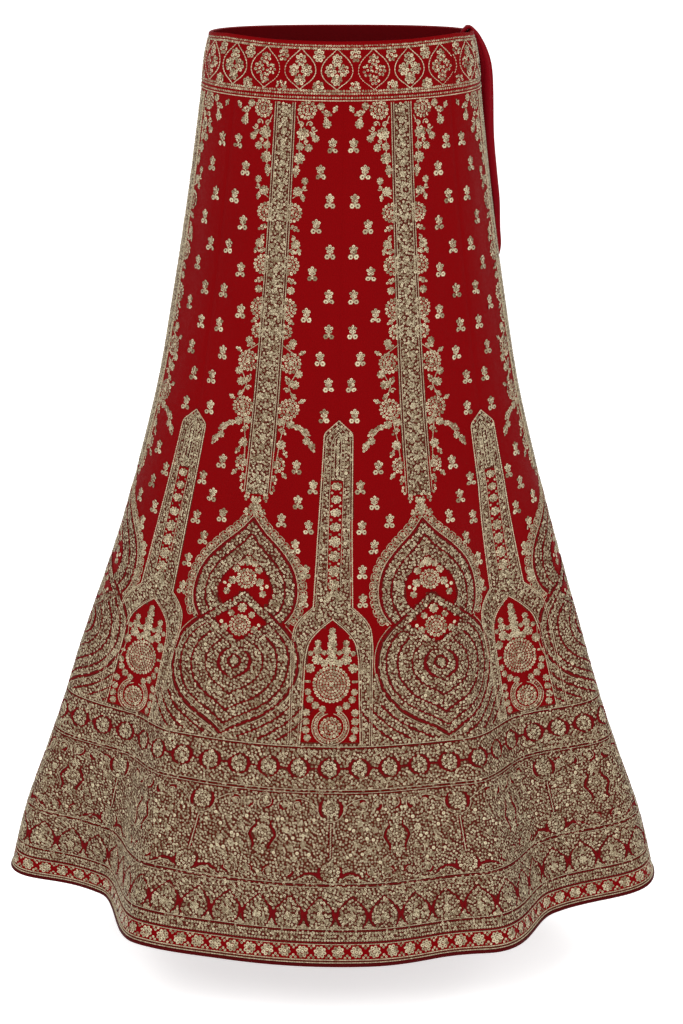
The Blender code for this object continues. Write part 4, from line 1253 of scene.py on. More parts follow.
class BeadTree:
    """The Geometry Nodes tree that sets a small six-sided dome at every point it is given."""

    tones = 16

    def __init__(self) -> None:
        """Build the tree."""
        self.tree = bpy.data.node_groups.new("set_beads", "GeometryNodeTree")
        tree = self.tree
        socket = tree.interface.new_socket
        socket("Geometry", in_out="INPUT", socket_type="NodeSocketGeometry")
        self.finish = socket("Finish", in_out="INPUT", socket_type="NodeSocketMaterial").identifier
        sides = socket("Sides", in_out="INPUT", socket_type="NodeSocketInt")
        sides.default_value = 6
        self.sides = sides.identifier
        socket("Geometry", in_out="OUTPUT", socket_type="NodeSocketGeometry")
        start, end = self.node("NodeGroupInput"), self.node("NodeGroupOutput")
        disc = self.node("GeometryNodeMeshCircle", fill_type="TRIANGLE_FAN")
        disc.inputs["Radius"].default_value = 1.0
        self.link(start.outputs["Sides"], disc.inputs["Vertices"])
        place = self.node("GeometryNodeInputPosition")
        reach = self.node("ShaderNodeVectorMath", operation="LENGTH")
        self.link(place.outputs[0], reach.inputs[0])
        crown = self.math("SUBTRACT", 1.0, reach.outputs["Value"])
        rise = self.node("ShaderNodeCombineXYZ")
        self.link(crown, rise.inputs["Z"])
        index = self.node("GeometryNodeInputIndex")
        odd = self.math("MODULO", index.outputs[0], 2.0)
        swing = self.math("MULTIPLY", self.math("SUBTRACT", odd, 0.5),
                          self.math("MULTIPLY", reach.outputs["Value"], 0.7))
        local = self.node("GeometryNodeStoreNamedAttribute", data_type="FLOAT_VECTOR", domain="POINT")
        local.inputs["Name"].default_value = "on_bead"
        pair = self.node("ShaderNodeCombineXYZ")
        self.link(reach.outputs["Value"], pair.inputs["X"])
        self.link(self.math("ADD", swing, 0.5), pair.inputs["Y"])
        self.link(disc.outputs["Mesh"], local.inputs["Geometry"])
        self.link(pair.outputs[0], local.inputs["Value"])
        dome = self.node("GeometryNodeSetPosition")
        self.link(local.outputs[0], dome.inputs["Geometry"])
        self.link(rise.outputs[0], dome.inputs["Offset"])
        copies = self.node("GeometryNodeInstanceOnPoints")
        stand = self.node("FunctionNodeAlignRotationToVector", axis="Z")
        head = self.node("FunctionNodeAlignRotationToVector", axis="X", pivot_axis="Z")
        self.link(self.named("facing", "FLOAT_VECTOR"), stand.inputs["Vector"])
        self.link(stand.outputs[0], head.inputs["Rotation"])
        self.link(self.named("heading", "FLOAT_VECTOR"), head.inputs["Vector"])
        self.link(start.outputs["Geometry"], copies.inputs["Points"])
        self.link(dome.outputs[0], copies.inputs["Instance"])
        self.link(head.outputs[0], copies.inputs["Rotation"])
        self.link(self.named("size", "FLOAT_VECTOR"), copies.inputs["Scale"])
        real = self.node("GeometryNodeRealizeInstances")
        self.link(copies.outputs[0], real.inputs[0])
        spread = self.node("ShaderNodeSeparateXYZ")
        self.link(self.named("on_bead", "FLOAT_VECTOR"), spread.inputs[0])
        level = self.math("FLOOR", self.math("MULTIPLY", self.named("tone", "FLOAT"), self.tones - 0.01), 0.0)
        row = self.math("DIVIDE", self.math("ADD", level, spread.outputs["Y"]), float(self.tones))
        both = self.node("ShaderNodeCombineXYZ")
        self.link(spread.outputs["X"], both.inputs["X"])
        self.link(row, both.inputs["Y"])
        flow = real.outputs[0]
        for name in ("bead", "OFBake"):
            store = self.node("GeometryNodeStoreNamedAttribute", data_type="FLOAT2", domain="CORNER")
            store.inputs["Name"].default_value = name
            self.link(flow, store.inputs["Geometry"])
            self.link(both.outputs[0], store.inputs["Value"])
            flow = store.outputs[0]
        finish = self.node("GeometryNodeSetMaterial")
        self.link(flow, finish.inputs["Geometry"])
        self.link(start.outputs["Finish"], finish.inputs["Material"])
        self.link(finish.outputs[0], end.inputs["Geometry"])

    def node(self, kind: str, **settings: str) -> bpy.types.Node:
        """Add a node and set its options."""
        node = self.tree.nodes.new(kind)
        for name, value in settings.items():
            setattr(node, name, value)
        return node

    def link(self, source: bpy.types.NodeSocket, target: bpy.types.NodeSocket) -> None:
        """Join two sockets."""
        self.tree.links.new(source, target)

    def math(self, operation: str, first: object, second: object) -> bpy.types.NodeSocket:
        """Add a math node; each operand is a socket or a number."""
        node = self.node("ShaderNodeMath", operation=operation)
        for socket, value in zip(node.inputs, (first, second)):
            if isinstance(value, (int, float)):
                socket.default_value = value
            else:
                self.link(value, socket)
        return node.outputs[0]

    def named(self, name: str, data_type: str) -> bpy.types.NodeSocket:
        """Read one of the points' own attributes."""
        node = self.node("GeometryNodeInputNamedAttribute", data_type=data_type)
        node.inputs["Name"].default_value = name
        return node.outputs["Attribute"]

    def piece(self, name: str, points: np.ndarray, facing: np.ndarray, heading: np.ndarray,
              size: np.ndarray, tone: np.ndarray, finish: bpy.types.Material) -> bpy.types.Object:
        """Set beads at these points and return them as one plain mesh.

        Args:
            name: The piece's name.
            points: Where the beads stand.
            facing: Which way each one's crown points.
            heading: Which way its length runs.
            size: Its half length, half width and height.
            tone: How bright it is, from 0 to 1.
            finish: The material.

        Returns:
            The piece.
        """
        mesh = bpy.data.meshes.new(name + "_points")
        mesh.vertices.add(len(points))
        mesh.vertices.foreach_set("co", points.astype(np.float32).ravel())
        for label, values in (("facing", facing), ("heading", heading), ("size", size)):
            mesh.attributes.new(label, "FLOAT_VECTOR", "POINT").data.foreach_set(
                "vector", values.astype(np.float32).ravel())
        mesh.attributes.new("tone", "FLOAT", "POINT").data.foreach_set("value", tone.astype(np.float32))
        seat = bpy.data.objects.new(name + "_seat", mesh)
        bpy.context.collection.objects.link(seat)
        setter = seat.modifiers.new("beads", "NODES")
        setter.node_group = self.tree
        setter[self.finish] = finish
        setter[self.sides] = 6
        seat.update_tag()
        graph = bpy.context.evaluated_depsgraph_get()
        done = bpy.data.meshes.new_from_object(seat.evaluated_get(graph))
        seat.modifiers.remove(setter)
        bpy.data.objects.remove(seat, do_unlink=True)
        bpy.data.meshes.remove(mesh)
        for label in ("facing", "heading", "size", "tone", "on_bead"):
            if label in done.attributes:
                done.attributes.remove(done.attributes[label])
        done.name = name
        if not done.materials:
            done.materials.append(finish)
        done.shade_smooth()
        item = bpy.data.objects.new(name, done)
        bpy.context.collection.objects.link(item)
        return item


class NodeBoard:
    """A small helper that adds and joins shader nodes in one tree."""

    def __init__(self, tree: bpy.types.NodeTree) -> None:
        """Keep the tree."""
        self.tree = tree

    def node(self, kind: str, **settings: object) -> bpy.types.Node:
        """Add a node and set its options."""
        node = self.tree.nodes.new(kind)
        for name, value in settings.items():
            setattr(node, name, value)
        return node

    def feed(self, socket: bpy.types.NodeSocket, value: object) -> None:
        """Link a socket to an input, or set the input's number or colour."""
        if isinstance(value, bpy.types.NodeSocket):
            self.tree.links.new(value, socket)
        else:
            socket.default_value = value

    def math(self, operation: str, first: object, second: object = 0.0, third: object = 0.0,
             clamp: bool = False) -> bpy.types.NodeSocket:
        """Add a math node."""
        node = self.node("ShaderNodeMath", operation=operation, use_clamp=clamp)
        for socket, value in zip(node.inputs, (first, second, third)):
            self.feed(socket, value)
        return node.outputs[0]

    def mix(self, share: object, first: object, second: object, blend: str = "MIX") -> bpy.types.NodeSocket:
        """Mix two colours."""
        node = self.node("ShaderNodeMix", data_type="RGBA", blend_type=blend)
        for socket, value in ((node.inputs[0], share), (node.inputs[6], first), (node.inputs[7], second)):
            self.feed(socket, value)
        return node.outputs[2]

    def noise(self, vector: object, scale: float, detail: float = 3.0,
              rough: float = 0.55) -> bpy.types.NodeSocket:
        """Add a noise texture and return its value."""
        node = self.node("ShaderNodeTexNoise")
        if vector is not None:
            self.feed(node.inputs["Vector"], vector)
        for name, value in (("Scale", scale), ("Detail", detail), ("Roughness", rough)):
            node.inputs[name].default_value = value
        return node.outputs["Fac"]

    def spread(self, value: object, low: float, high: float, to_low: float = 0.0,
               to_high: float = 1.0) -> bpy.types.NodeSocket:
        """Map a range of values to another one, held at its ends."""
        node = self.node("ShaderNodeMapRange")
        for socket, number in zip(node.inputs, (value, low, high, to_low, to_high)):
            self.feed(socket, number)
        return node.outputs[0]


class SharedEffects:
    """Shader groups that several finishes use."""

    def __init__(self) -> None:
        """Build the weave and the cloth shading groups."""
        self.weave = self.make_weave()
        self.wear = self.make_shade()

    @staticmethod
    def board(name: str, inputs: Sequence[tuple[str, str]],
              outputs: Sequence[tuple[str, str]]) -> tuple[NodeBoard, bpy.types.Node, bpy.types.Node]:
        """Start a group with named inputs and outputs."""
        tree = bpy.data.node_groups.new(name, "ShaderNodeTree")
        for label, kind in inputs:
            tree.interface.new_socket(label, in_out="INPUT", socket_type=kind)
        for label, kind in outputs:
            tree.interface.new_socket(label, in_out="OUTPUT", socket_type=kind)
        board = NodeBoard(tree)
        return board, board.node("NodeGroupInput"), board.node("NodeGroupOutput")

    def make_weave(self) -> bpy.types.NodeTree:
        """Build a plain weave with slubs: over and under threads, and their height."""
        board, start, end = self.board("plain_weave",
                                       (("Vector", "NodeSocketVector"), ("Threads", "NodeSocketFloat"),
                                                       ("Slub", "NodeSocketFloat")),
                                       (("Height", "NodeSocketFloat"), ("Mask", "NodeSocketFloat")))
        split = board.node("ShaderNodeSeparateXYZ")
        board.feed(split.inputs[0], start.outputs["Vector"])
        uneven = board.noise(start.outputs["Vector"], 90.0, 2.0)
        shift = board.math("MULTIPLY", uneven, start.outputs["Slub"])
        rows = board.math("SINE",
                          board.math("ADD", board.math("MULTIPLY", split.outputs["Y"],
                                                       start.outputs["Threads"]), shift))
        columns = board.math("SINE",
                             board.math("ADD", board.math("MULTIPLY", split.outputs["X"],
                                                          start.outputs["Threads"]), shift))
        product = board.math("MULTIPLY", rows, columns)
        height = board.math("MULTIPLY_ADD", product, 0.5, 0.5)
        board.feed(end.inputs["Height"], height)
        board.feed(end.inputs["Mask"], board.math("MULTIPLY", height, uneven))
        return board.tree

    def make_shade(self) -> bpy.types.NodeTree:
        """Build the slow uneven tone of dyed cloth that has been handled."""
        board, start, end = self.board("cloth_tone",
                                       (("Vector", "NodeSocketVector"), ("Spread", "NodeSocketFloat")),
                                       (("Tone", "NodeSocketFloat"), ("Fuzz", "NodeSocketFloat")))
        broad = board.noise(start.outputs["Vector"], 9.0, 4.0)
        fine = board.noise(start.outputs["Vector"], 220.0, 2.0)
        mixed = board.math("MULTIPLY_ADD", fine, 0.35, board.math("MULTIPLY", broad, 0.65))
        centred = board.math("SUBTRACT", mixed, 0.5)
        board.feed(end.inputs["Tone"], board.math("MULTIPLY_ADD", centred, start.outputs["Spread"], 0.5))
        board.feed(end.inputs["Fuzz"], fine)
        return board.tree


Colour = tuple[float, float, float, float]


@dataclass(frozen=True)
class ClothFinish:
    """A woven cloth.

    Attributes:
        name: The material's name.
        light: The colour of the raised threads, painted lighter as painted light on the weave.
        dark: The colour between them, painted darker as painted shade between the threads.
        dark: The colour between them.
        threads: Threads to a metre, times two pi.
        roughness: The cloth's roughness.
        sheen: How much soft light its fibres catch.
        shine: How strongly the face reflects.
        worked: Whether the piece has a mask for its embroidered ground, which is painted dark as painted
        shade between the rings; such a cloth is also painted darker lower down, as painted shade.
        bump: The height of the weave, in metres.
    """

    name: str
    light: Colour
    dark: Colour
    threads: float = 9000.0
    roughness: float = 0.62
    sheen: float = 0.08
    shine: float = 0.04
    worked: bool = False
    bump: float = 0.00016

    def make(self, effects: SharedEffects) -> bpy.types.Material:
        """Build the material."""
        material = bpy.data.materials.new(self.name)
        material.use_nodes = True
        board = NodeBoard(material.node_tree)
        shader = material.node_tree.nodes["Principled BSDF"]
        cloth = board.node("ShaderNodeUVMap", uv_map="cloth")
        place = board.node("ShaderNodeTexCoord")
        weave = board.node("ShaderNodeGroup", node_tree=effects.weave)
        board.feed(weave.inputs["Vector"], cloth.outputs[0])
        weave.inputs["Threads"].default_value = self.threads
        weave.inputs["Slub"].default_value = 2.4
        tone = board.node("ShaderNodeGroup", node_tree=effects.wear)
        board.feed(tone.inputs["Vector"], place.outputs["Object"])
        tone.inputs["Spread"].default_value = 1.1
        # Painted light and shade: the weave's raised threads are lighter and the gaps between them darker,
        # mixed with the cloth's uneven tone.
        share = board.math("ADD", board.math("MULTIPLY", weave.outputs["Height"], 0.45),
                           board.math("MULTIPLY", tone.outputs["Tone"], 0.55), clamp=True)
        colour = board.mix(share, self.dark, self.light)
        rough = board.spread(tone.outputs["Fuzz"], 0.3, 0.7, self.roughness - 0.08, self.roughness + 0.08)
        height = weave.outputs["Height"]
        if self.worked:
            mask = board.node("ShaderNodeAttribute", attribute_name="worked")
            split = board.node("ShaderNodeSeparateXYZ")
            board.feed(split.inputs[0], cloth.outputs[0])
            # Painted shade: the worked cloth darkens towards its lower part, from 0.40 to 0.85 m down.
            colour = board.mix(board.spread(split.outputs["Y"], 0.40, 0.85, 0.0, 0.22), colour, self.dark)
            # Painted shade: under the embroidery the cloth turns dark, as shade between the rings, with gold
            # specks in it.
            specks = board.noise(cloth.outputs[0], 1300.0, 2.0, 0.7)
            glint = board.spread(specks, 0.54, 0.66)
            ground = board.mix(glint, GROUND_PAINTED_SHADE, GROUND_GOLD)
            cover = board.spread(mask.outputs["Fac"], 0.45, 0.55)
            colour = board.mix(cover, colour, ground)
            rough = board.math("SUBTRACT", rough, board.math("MULTIPLY", cover, 0.12))
            height = board.math("ADD", height,
                                board.math("MULTIPLY", board.math("MULTIPLY", glint, cover), 1.5))
        board.feed(shader.inputs["Base Color"], colour)
        board.feed(shader.inputs["Roughness"], rough)
        shader.inputs["Sheen Weight"].default_value = self.sheen
        shader.inputs["Sheen Roughness"].default_value = 0.45
        shader.inputs["Sheen Tint"].default_value = self.light
        shader.inputs["Specular IOR Level"].default_value = self.shine
        shader.inputs["Specular Tint"].default_value = (1.0, 0.30, 0.28, 1.0)
        bump = board.node("ShaderNodeBump")
        bump.inputs["Strength"].default_value = 0.6
        bump.inputs["Distance"].default_value = self.bump
        board.feed(bump.inputs["Height"], height)
        board.feed(shader.inputs["Normal"], bump.outputs[0])
        return material


@dataclass(frozen=True)
class BeadFinish:
    """A small worked element whose colour follows its own map: across the bead, and its tone.

    Attributes:
        name: The material's name.
        dull: The colour of the dullest ones.
        bright: The colour of the brightest ones.
        hole: The colour in the middle of a ring, also the painted shade at a ring's rim and the
          darker stripes of a thread.
        ring: Whether the element is a ring with a dark middle.
        metallic: How metallic it is.
        roughness: Its roughness.
        shine: How strongly its face reflects.
    """

    name: str
    dull: Colour
    bright: Colour
    hole: Colour
    ring: bool
    metallic: float
    roughness: float
    shine: float = 0.35

    def make(self, effects: SharedEffects) -> bpy.types.Material:
        """Build the material."""
        material = bpy.data.materials.new(self.name)
        material.use_nodes = True
        board = NodeBoard(material.node_tree)
        shader = material.node_tree.nodes["Principled BSDF"]
        bead = board.node("ShaderNodeUVMap", uv_map="bead")
        split = board.node("ShaderNodeSeparateXYZ")
        board.feed(split.inputs[0], bead.outputs[0])
        out, tone = split.outputs["X"], split.outputs["Y"]
        row = board.math("DIVIDE", board.math("FLOOR", board.math("MULTIPLY", tone, float(BeadTree.tones))),
                         BeadTree.tones - 1.0)
        colour = board.mix(row, self.dull, self.bright)
        if self.ring:
            # The dark rim is painted shade between neighbouring rings, with less of it on the brightest
            # rings; the dark middle is the ring's hole.
            hole = board.spread(out, 0.28, 0.48, 1.0, 0.0)
            edge = board.spread(out, 0.86, 1.00, 0.0, 0.70)
            dark = board.math("MULTIPLY", board.math("MAXIMUM", hole, edge),
                              board.spread(row, 0.9, 1.0, 1.0, 0.45))
            colour = board.mix(dark, colour, self.hole)
            crest = board.math("SUBTRACT", 1.0, board.math("ABSOLUTE", board.math("SUBTRACT", out, 0.58)))
            height = board.math("POWER", crest, 2.0)
        else:
            twist = board.math("SINE",
                               board.math("MULTIPLY", board.math("ADD", out,
                                                                 board.math("MULTIPLY", tone, 16.0)), 16.0))
            colour = board.mix(board.spread(twist, -1.0, 1.0, 0.0, 0.22), colour, self.hole)
            height = board.math("MULTIPLY_ADD", twist, 0.25, 0.5)
        board.feed(shader.inputs["Base Color"], colour)
        shader.inputs["Metallic"].default_value = self.metallic
        board.feed(shader.inputs["Roughness"],
                   board.spread(row, 0.0, 1.0, self.roughness + 0.08, self.roughness - 0.08))
        shader.inputs["Specular IOR Level"].default_value = self.shine
        bump = board.node("ShaderNodeBump")
        bump.inputs["Strength"].default_value = 0.45
        bump.inputs["Distance"].default_value = 0.0004
        board.feed(bump.inputs["Height"], height)
        board.feed(shader.inputs["Normal"], bump.outputs[0])
        return material


# Painted shade between the rings of the embroidery, laid on the worked cloth; the gold colour is for its
# specks.
GROUND_PAINTED_SHADE: Colour = (0.055, 0.004, 0.003, 1.0)
GROUND_GOLD: Colour = (0.17, 0.085, 0.044, 1.0)
KALI_CLOTH = ClothFinish("red_kali_cloth", (0.174, 0.0010, 0.0019, 1.0), (0.114, 0.0007, 0.0014, 1.0),
                         worked=True)
LINING = ClothFinish("red_lining", (0.135, 0.003, 0.005, 1.0), (0.085, 0.002, 0.003, 1.0), roughness=0.5,
                     sheen=0.08)
BAND_CLOTH = ClothFinish("red_band_cloth", (0.168, 0.0010, 0.0019, 1.0), (0.110, 0.0007, 0.0014, 1.0),
                         threads=8000.0)
BINDING = ClothFinish("dark_red_binding", (0.068, 0.003, 0.0035, 1.0), (0.040, 0.002, 0.002, 1.0),
                      roughness=0.48, sheen=0.08)
TIE_CLOTH = ClothFinish("red_tie_cloth", (0.185, 0.0025, 0.006, 1.0), (0.115, 0.0012, 0.004, 1.0),
                        roughness=0.75, sheen=0.3)
SEQUINS = BeadFinish("antique_gold_rings", (0.170, 0.122, 0.060, 1.0), (0.49, 0.425, 0.275, 1.0),
                     (0.055, 0.008, 0.006, 1.0),
                     True, 0.30, 0.42)
GOLD_THREAD = BeadFinish("gold_thread", (0.22, 0.150, 0.08, 1.0), (0.56, 0.48, 0.32, 1.0),
                         (0.10, 0.035, 0.02, 1.0),
                         False, 0.25, 0.50)
RED_THREAD = BeadFinish("red_thread", (0.10, 0.001, 0.002, 1.0), (0.13, 0.0012, 0.0025, 1.0),
                        (0.06, 0.001, 0.0015, 1.0),
                        False, 0.0, 0.75, 0.05)


def grid_shell(name: str, outer: np.ndarray, inner: np.ndarray, chart: np.ndarray, worked: np.ndarray | None,
               finishes: Sequence[bpy.types.Material]) -> bpy.types.Object:
    """Close two grids of points into one thin cloth, with its map in metres.

    Args:
        name: The piece's name.
        outer: The outer face's points, rows down and columns across.
        inner: The inner face's points.
        chart: Metres across and down for each point.
        worked: How much of each outer point is embroidered ground.
        finishes: The outer face's material and the inner one's.

    Returns:
        The piece.
    """
    rows, columns = outer.shape[:2]
    count = rows * columns
    points = np.vstack([outer.reshape(-1, 3), inner.reshape(-1, 3)])
    index = np.arange(count).reshape(rows, columns)
    a, b, c, d = index[:-1, :-1].ravel(), index[:-1, 1:].ravel(), index[1:, 1:].ravel(), index[1:,
                                                                                               :-1].ravel()
    faces = [np.column_stack([a, d, c, b]), np.column_stack([a, b, c, d]) + count]
    rim = np.concatenate([index[0, :-1], index[:-1, -1], index[-1, :0:-1], index[:0:-1, 0]])
    after = np.roll(rim, -1)
    faces.append(np.column_stack([rim, after, after + count, rim + count]))
    quads = np.vstack(faces)
    mesh = bpy.data.meshes.new(name)
    mesh.from_pydata(points.tolist(), [], quads.tolist())
    layer = mesh.uv_layers.new(name="cloth")
    flat = np.vstack([chart.reshape(-1, 2)] * 2)
    corners = np.empty(len(mesh.loops), np.int32)
    mesh.loops.foreach_get("vertex_index", corners)
    layer.data.foreach_set("uv", flat[corners].astype(np.float32).ravel())
    if worked is not None:
        values = np.concatenate([worked.ravel(), np.zeros(count)]).astype(np.float32)
        mesh.attributes.new("worked", "FLOAT", "POINT").data.foreach_set("value", values)
    for finish in finishes:
        mesh.materials.append(finish)
    inside = np.zeros(len(quads), np.int32)
    inside[len(a):2 * len(a)] = len(finishes) - 1
    mesh.polygons.foreach_set("material_index", inside)
    mesh.update()
    mesh.shade_smooth()
    mesh.set_sharp_from_angle(angle=math.radians(50.0))
    item = bpy.data.objects.new(name, mesh)
    bpy.context.collection.objects.link(item)
    return item


@dataclass
class KaliShell:
    """One gore of cloth with its lining, from under the band to the binding."""

    surface: ClothSurface
    kali: int
    top: float = 0.0595
    bottom: float = 1.0362
    wall: float = 0.0020
    columns: int = 49
    rows: int = 157

    @property
    def name(self) -> str:
        """Give the CAD node's name."""
        return KALIS[self.kali].name

    def build(self, finishes: Sequence[bpy.types.Material]) -> bpy.types.Object:
        """Build the cloth and hand it over to its node."""
        downs = np.linspace(self.top, self.bottom, self.rows)
        shares = np.linspace(0.0, 1.0, self.columns)
        grid_down, grid_share = np.meshgrid(downs, shares, indexing="ij")
        widths = self.surface.width(self.kali, grid_down)
        across = grid_share * widths
        outer = self.surface.point(self.kali, across, grid_down)
        out = self.surface.axes(self.kali, across, grid_down)[2]
        seam = np.minimum(across, widths - across)
        pressed = 0.0007 * np.exp(-(seam / 0.0016) ** 2)
        outer = outer - out * pressed[..., None]
        inner = self.surface.point(self.kali, across, grid_down, -self.wall)
        where = regions(across - 0.5 * widths, off_seam(across, widths, grid_down), grid_down)
        worked = (where["strip"] | where["upper"] | where["lower"] | where["middle"] | where["corner"]
                  | where["pillar"]
                  | where["tower"] | where["border"] | where["scallop"] | (grid_down > 1.0312))
        piece = grid_shell(self.name + "_cloth", outer, inner, np.dstack([across, grid_down]),
                           worked.astype(float), finishes)
        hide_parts(self.name)
        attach(piece, BODY)
        return piece

    def declare(self, piece: bpy.types.Object, on_it: Sequence[bpy.types.Object],
                band: Sequence[str]) -> None:
        downs = np.linspace(self.top, self.bottom, 80)
        widths = self.surface.width(self.kali, downs)


@dataclass
class HemBinding:
    """The plain folded binding under one gore's edge."""

    surface: ClothSurface
    kali: int
    columns: int = 60
    profile: tuple[tuple[float, float], ...] = (
        (-0.0046, -0.0004), (-0.0042, 0.0010), (-0.0026, 0.0021), (-0.0010, 0.0022), (0.0001, 0.0012),
        (0.0003, -0.0004),
        (-0.0003, -0.0017), (-0.0016, -0.0024), (-0.0034, -0.0023), (-0.0046, -0.0014))

    def build(self, finish: bpy.types.Material) -> bpy.types.Object:
        """Build the rolled strip and hand it over to its node."""
        node = KALIS[self.kali].name.replace("kali", "hem_piping")
        width = float(self.surface.width(self.kali, SKIRT_LENGTH))
        across = np.linspace(0.0001, width - 0.0001, self.columns)
        downs = np.full(self.columns, SKIRT_LENGTH)
        base = self.surface.point(self.kali, across, downs)
        _, along, out = self.surface.axes(self.kali, across, downs)
        random = np.random.default_rng(SEED + 40 + self.kali)
        swell = 1.0 + 0.05 * np.interp(across, np.linspace(0.0, width, 24), random.normal(size=24))
        loops = np.array([base + along * down + out * (off * swell)[:, None] for down, off in self.profile])
        count = len(self.profile)
        points = loops.reshape(-1, 3)
        faces = []
        for i in range(count):
            k = (i + 1) % count
            faces += [(i * self.columns + j, k * self.columns + j, k * self.columns + j + 1,
                       i * self.columns + j + 1)
                      for j in range(self.columns - 1)]
        faces.append([i * self.columns for i in range(count)][::-1])
        faces.append([i * self.columns + self.columns - 1 for i in range(count)])
        mesh = bpy.data.meshes.new(node + "_cloth")
        mesh.from_pydata(points.tolist(), [], faces)
        layer = mesh.uv_layers.new(name="cloth")
        chart = np.array([(across[j], 0.0022 * i) for i in range(count) for j in range(self.columns)])
        corners = np.empty(len(mesh.loops), np.int32)
        mesh.loops.foreach_get("vertex_index", corners)
        layer.data.foreach_set("uv", chart[corners].astype(np.float32).ravel())
        mesh.materials.append(finish)
        mesh.shade_smooth()
        piece = bpy.data.objects.new(node + "_cloth", mesh)
        bpy.context.collection.objects.link(piece)
        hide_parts(node)
        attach(piece, BODY)
        return piece


@dataclass
class Waistband:
    """A length of the stiff band between two joints, with its plain top roll."""

    surface: ClothSurface
    name: str
    start_degrees: float
    end_degrees: float
    first_frame: float
    level: float = 0.030
    stands_out: float = 0.0006
    wall: float = 0.0028
    column_step: float = 0.006

    def ends(self) -> tuple[float, float]:
        """Give where the length starts and ends, in metres round."""
        return (self.surface.round_at_degrees(self.start_degrees, self.level),
                self.surface.round_at_degrees(self.end_degrees, self.level))

    def build(self, finishes: Sequence[bpy.types.Material]) -> bpy.types.Object:
        """Build the band's cloth."""
        start, end = self.ends()
        rounds = np.linspace(start + 0.0002, end - 0.0002, int((end - start) / self.column_step))
        kali, share = self.surface.place_round(rounds, self.level)
        profile = [(-0.0004, -0.0012), (-0.0006, 0.0004), (0.0004, 0.0013), (0.0022, 0.0011),
                   (0.0034, 0.0004)]
        profile += [(down, 0.0003 * math.sin(40.0 * down)) for down in np.linspace(0.006, 0.0575, 16)]
        profile += [(0.0590, 0.0002), (0.0600, -0.0004)]
        outer, inner, chart = [], [], []
        for down, off in profile:
            level = np.full(len(rounds), max(down, 0.0))
            point = self.surface.plain_point(kali, share, level)
            out = self.surface.plain_normal(kali, share, level)
            ease = 0.00035 * np.sin(rounds * 61.0) * math.sin(math.pi * min(1.0, max(0.0, down) / BAND_DEPTH))
            lifted = point + out * (self.stands_out + off + ease)[:, None]
            risen = self.surface.rim_rise(point, down) - min(down, 0.0)
            lifted[:, 2] += risen
            outer.append(lifted)
            deep = point + out * (self.stands_out - self.wall)
            deep[:, 2] += risen
            inner.append(deep)
            chart.append(np.column_stack([rounds, np.full(len(rounds), down)]))
        piece = grid_shell(self.name + "_cloth", np.array(outer), np.array(inner), np.array(chart), None,
                           finishes)
        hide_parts(self.name)
        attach(piece, BODY)
        return piece

    def declare(self, piece: bpy.types.Object, on_it: Sequence[bpy.types.Object]) -> None:
        start, end = self.ends()


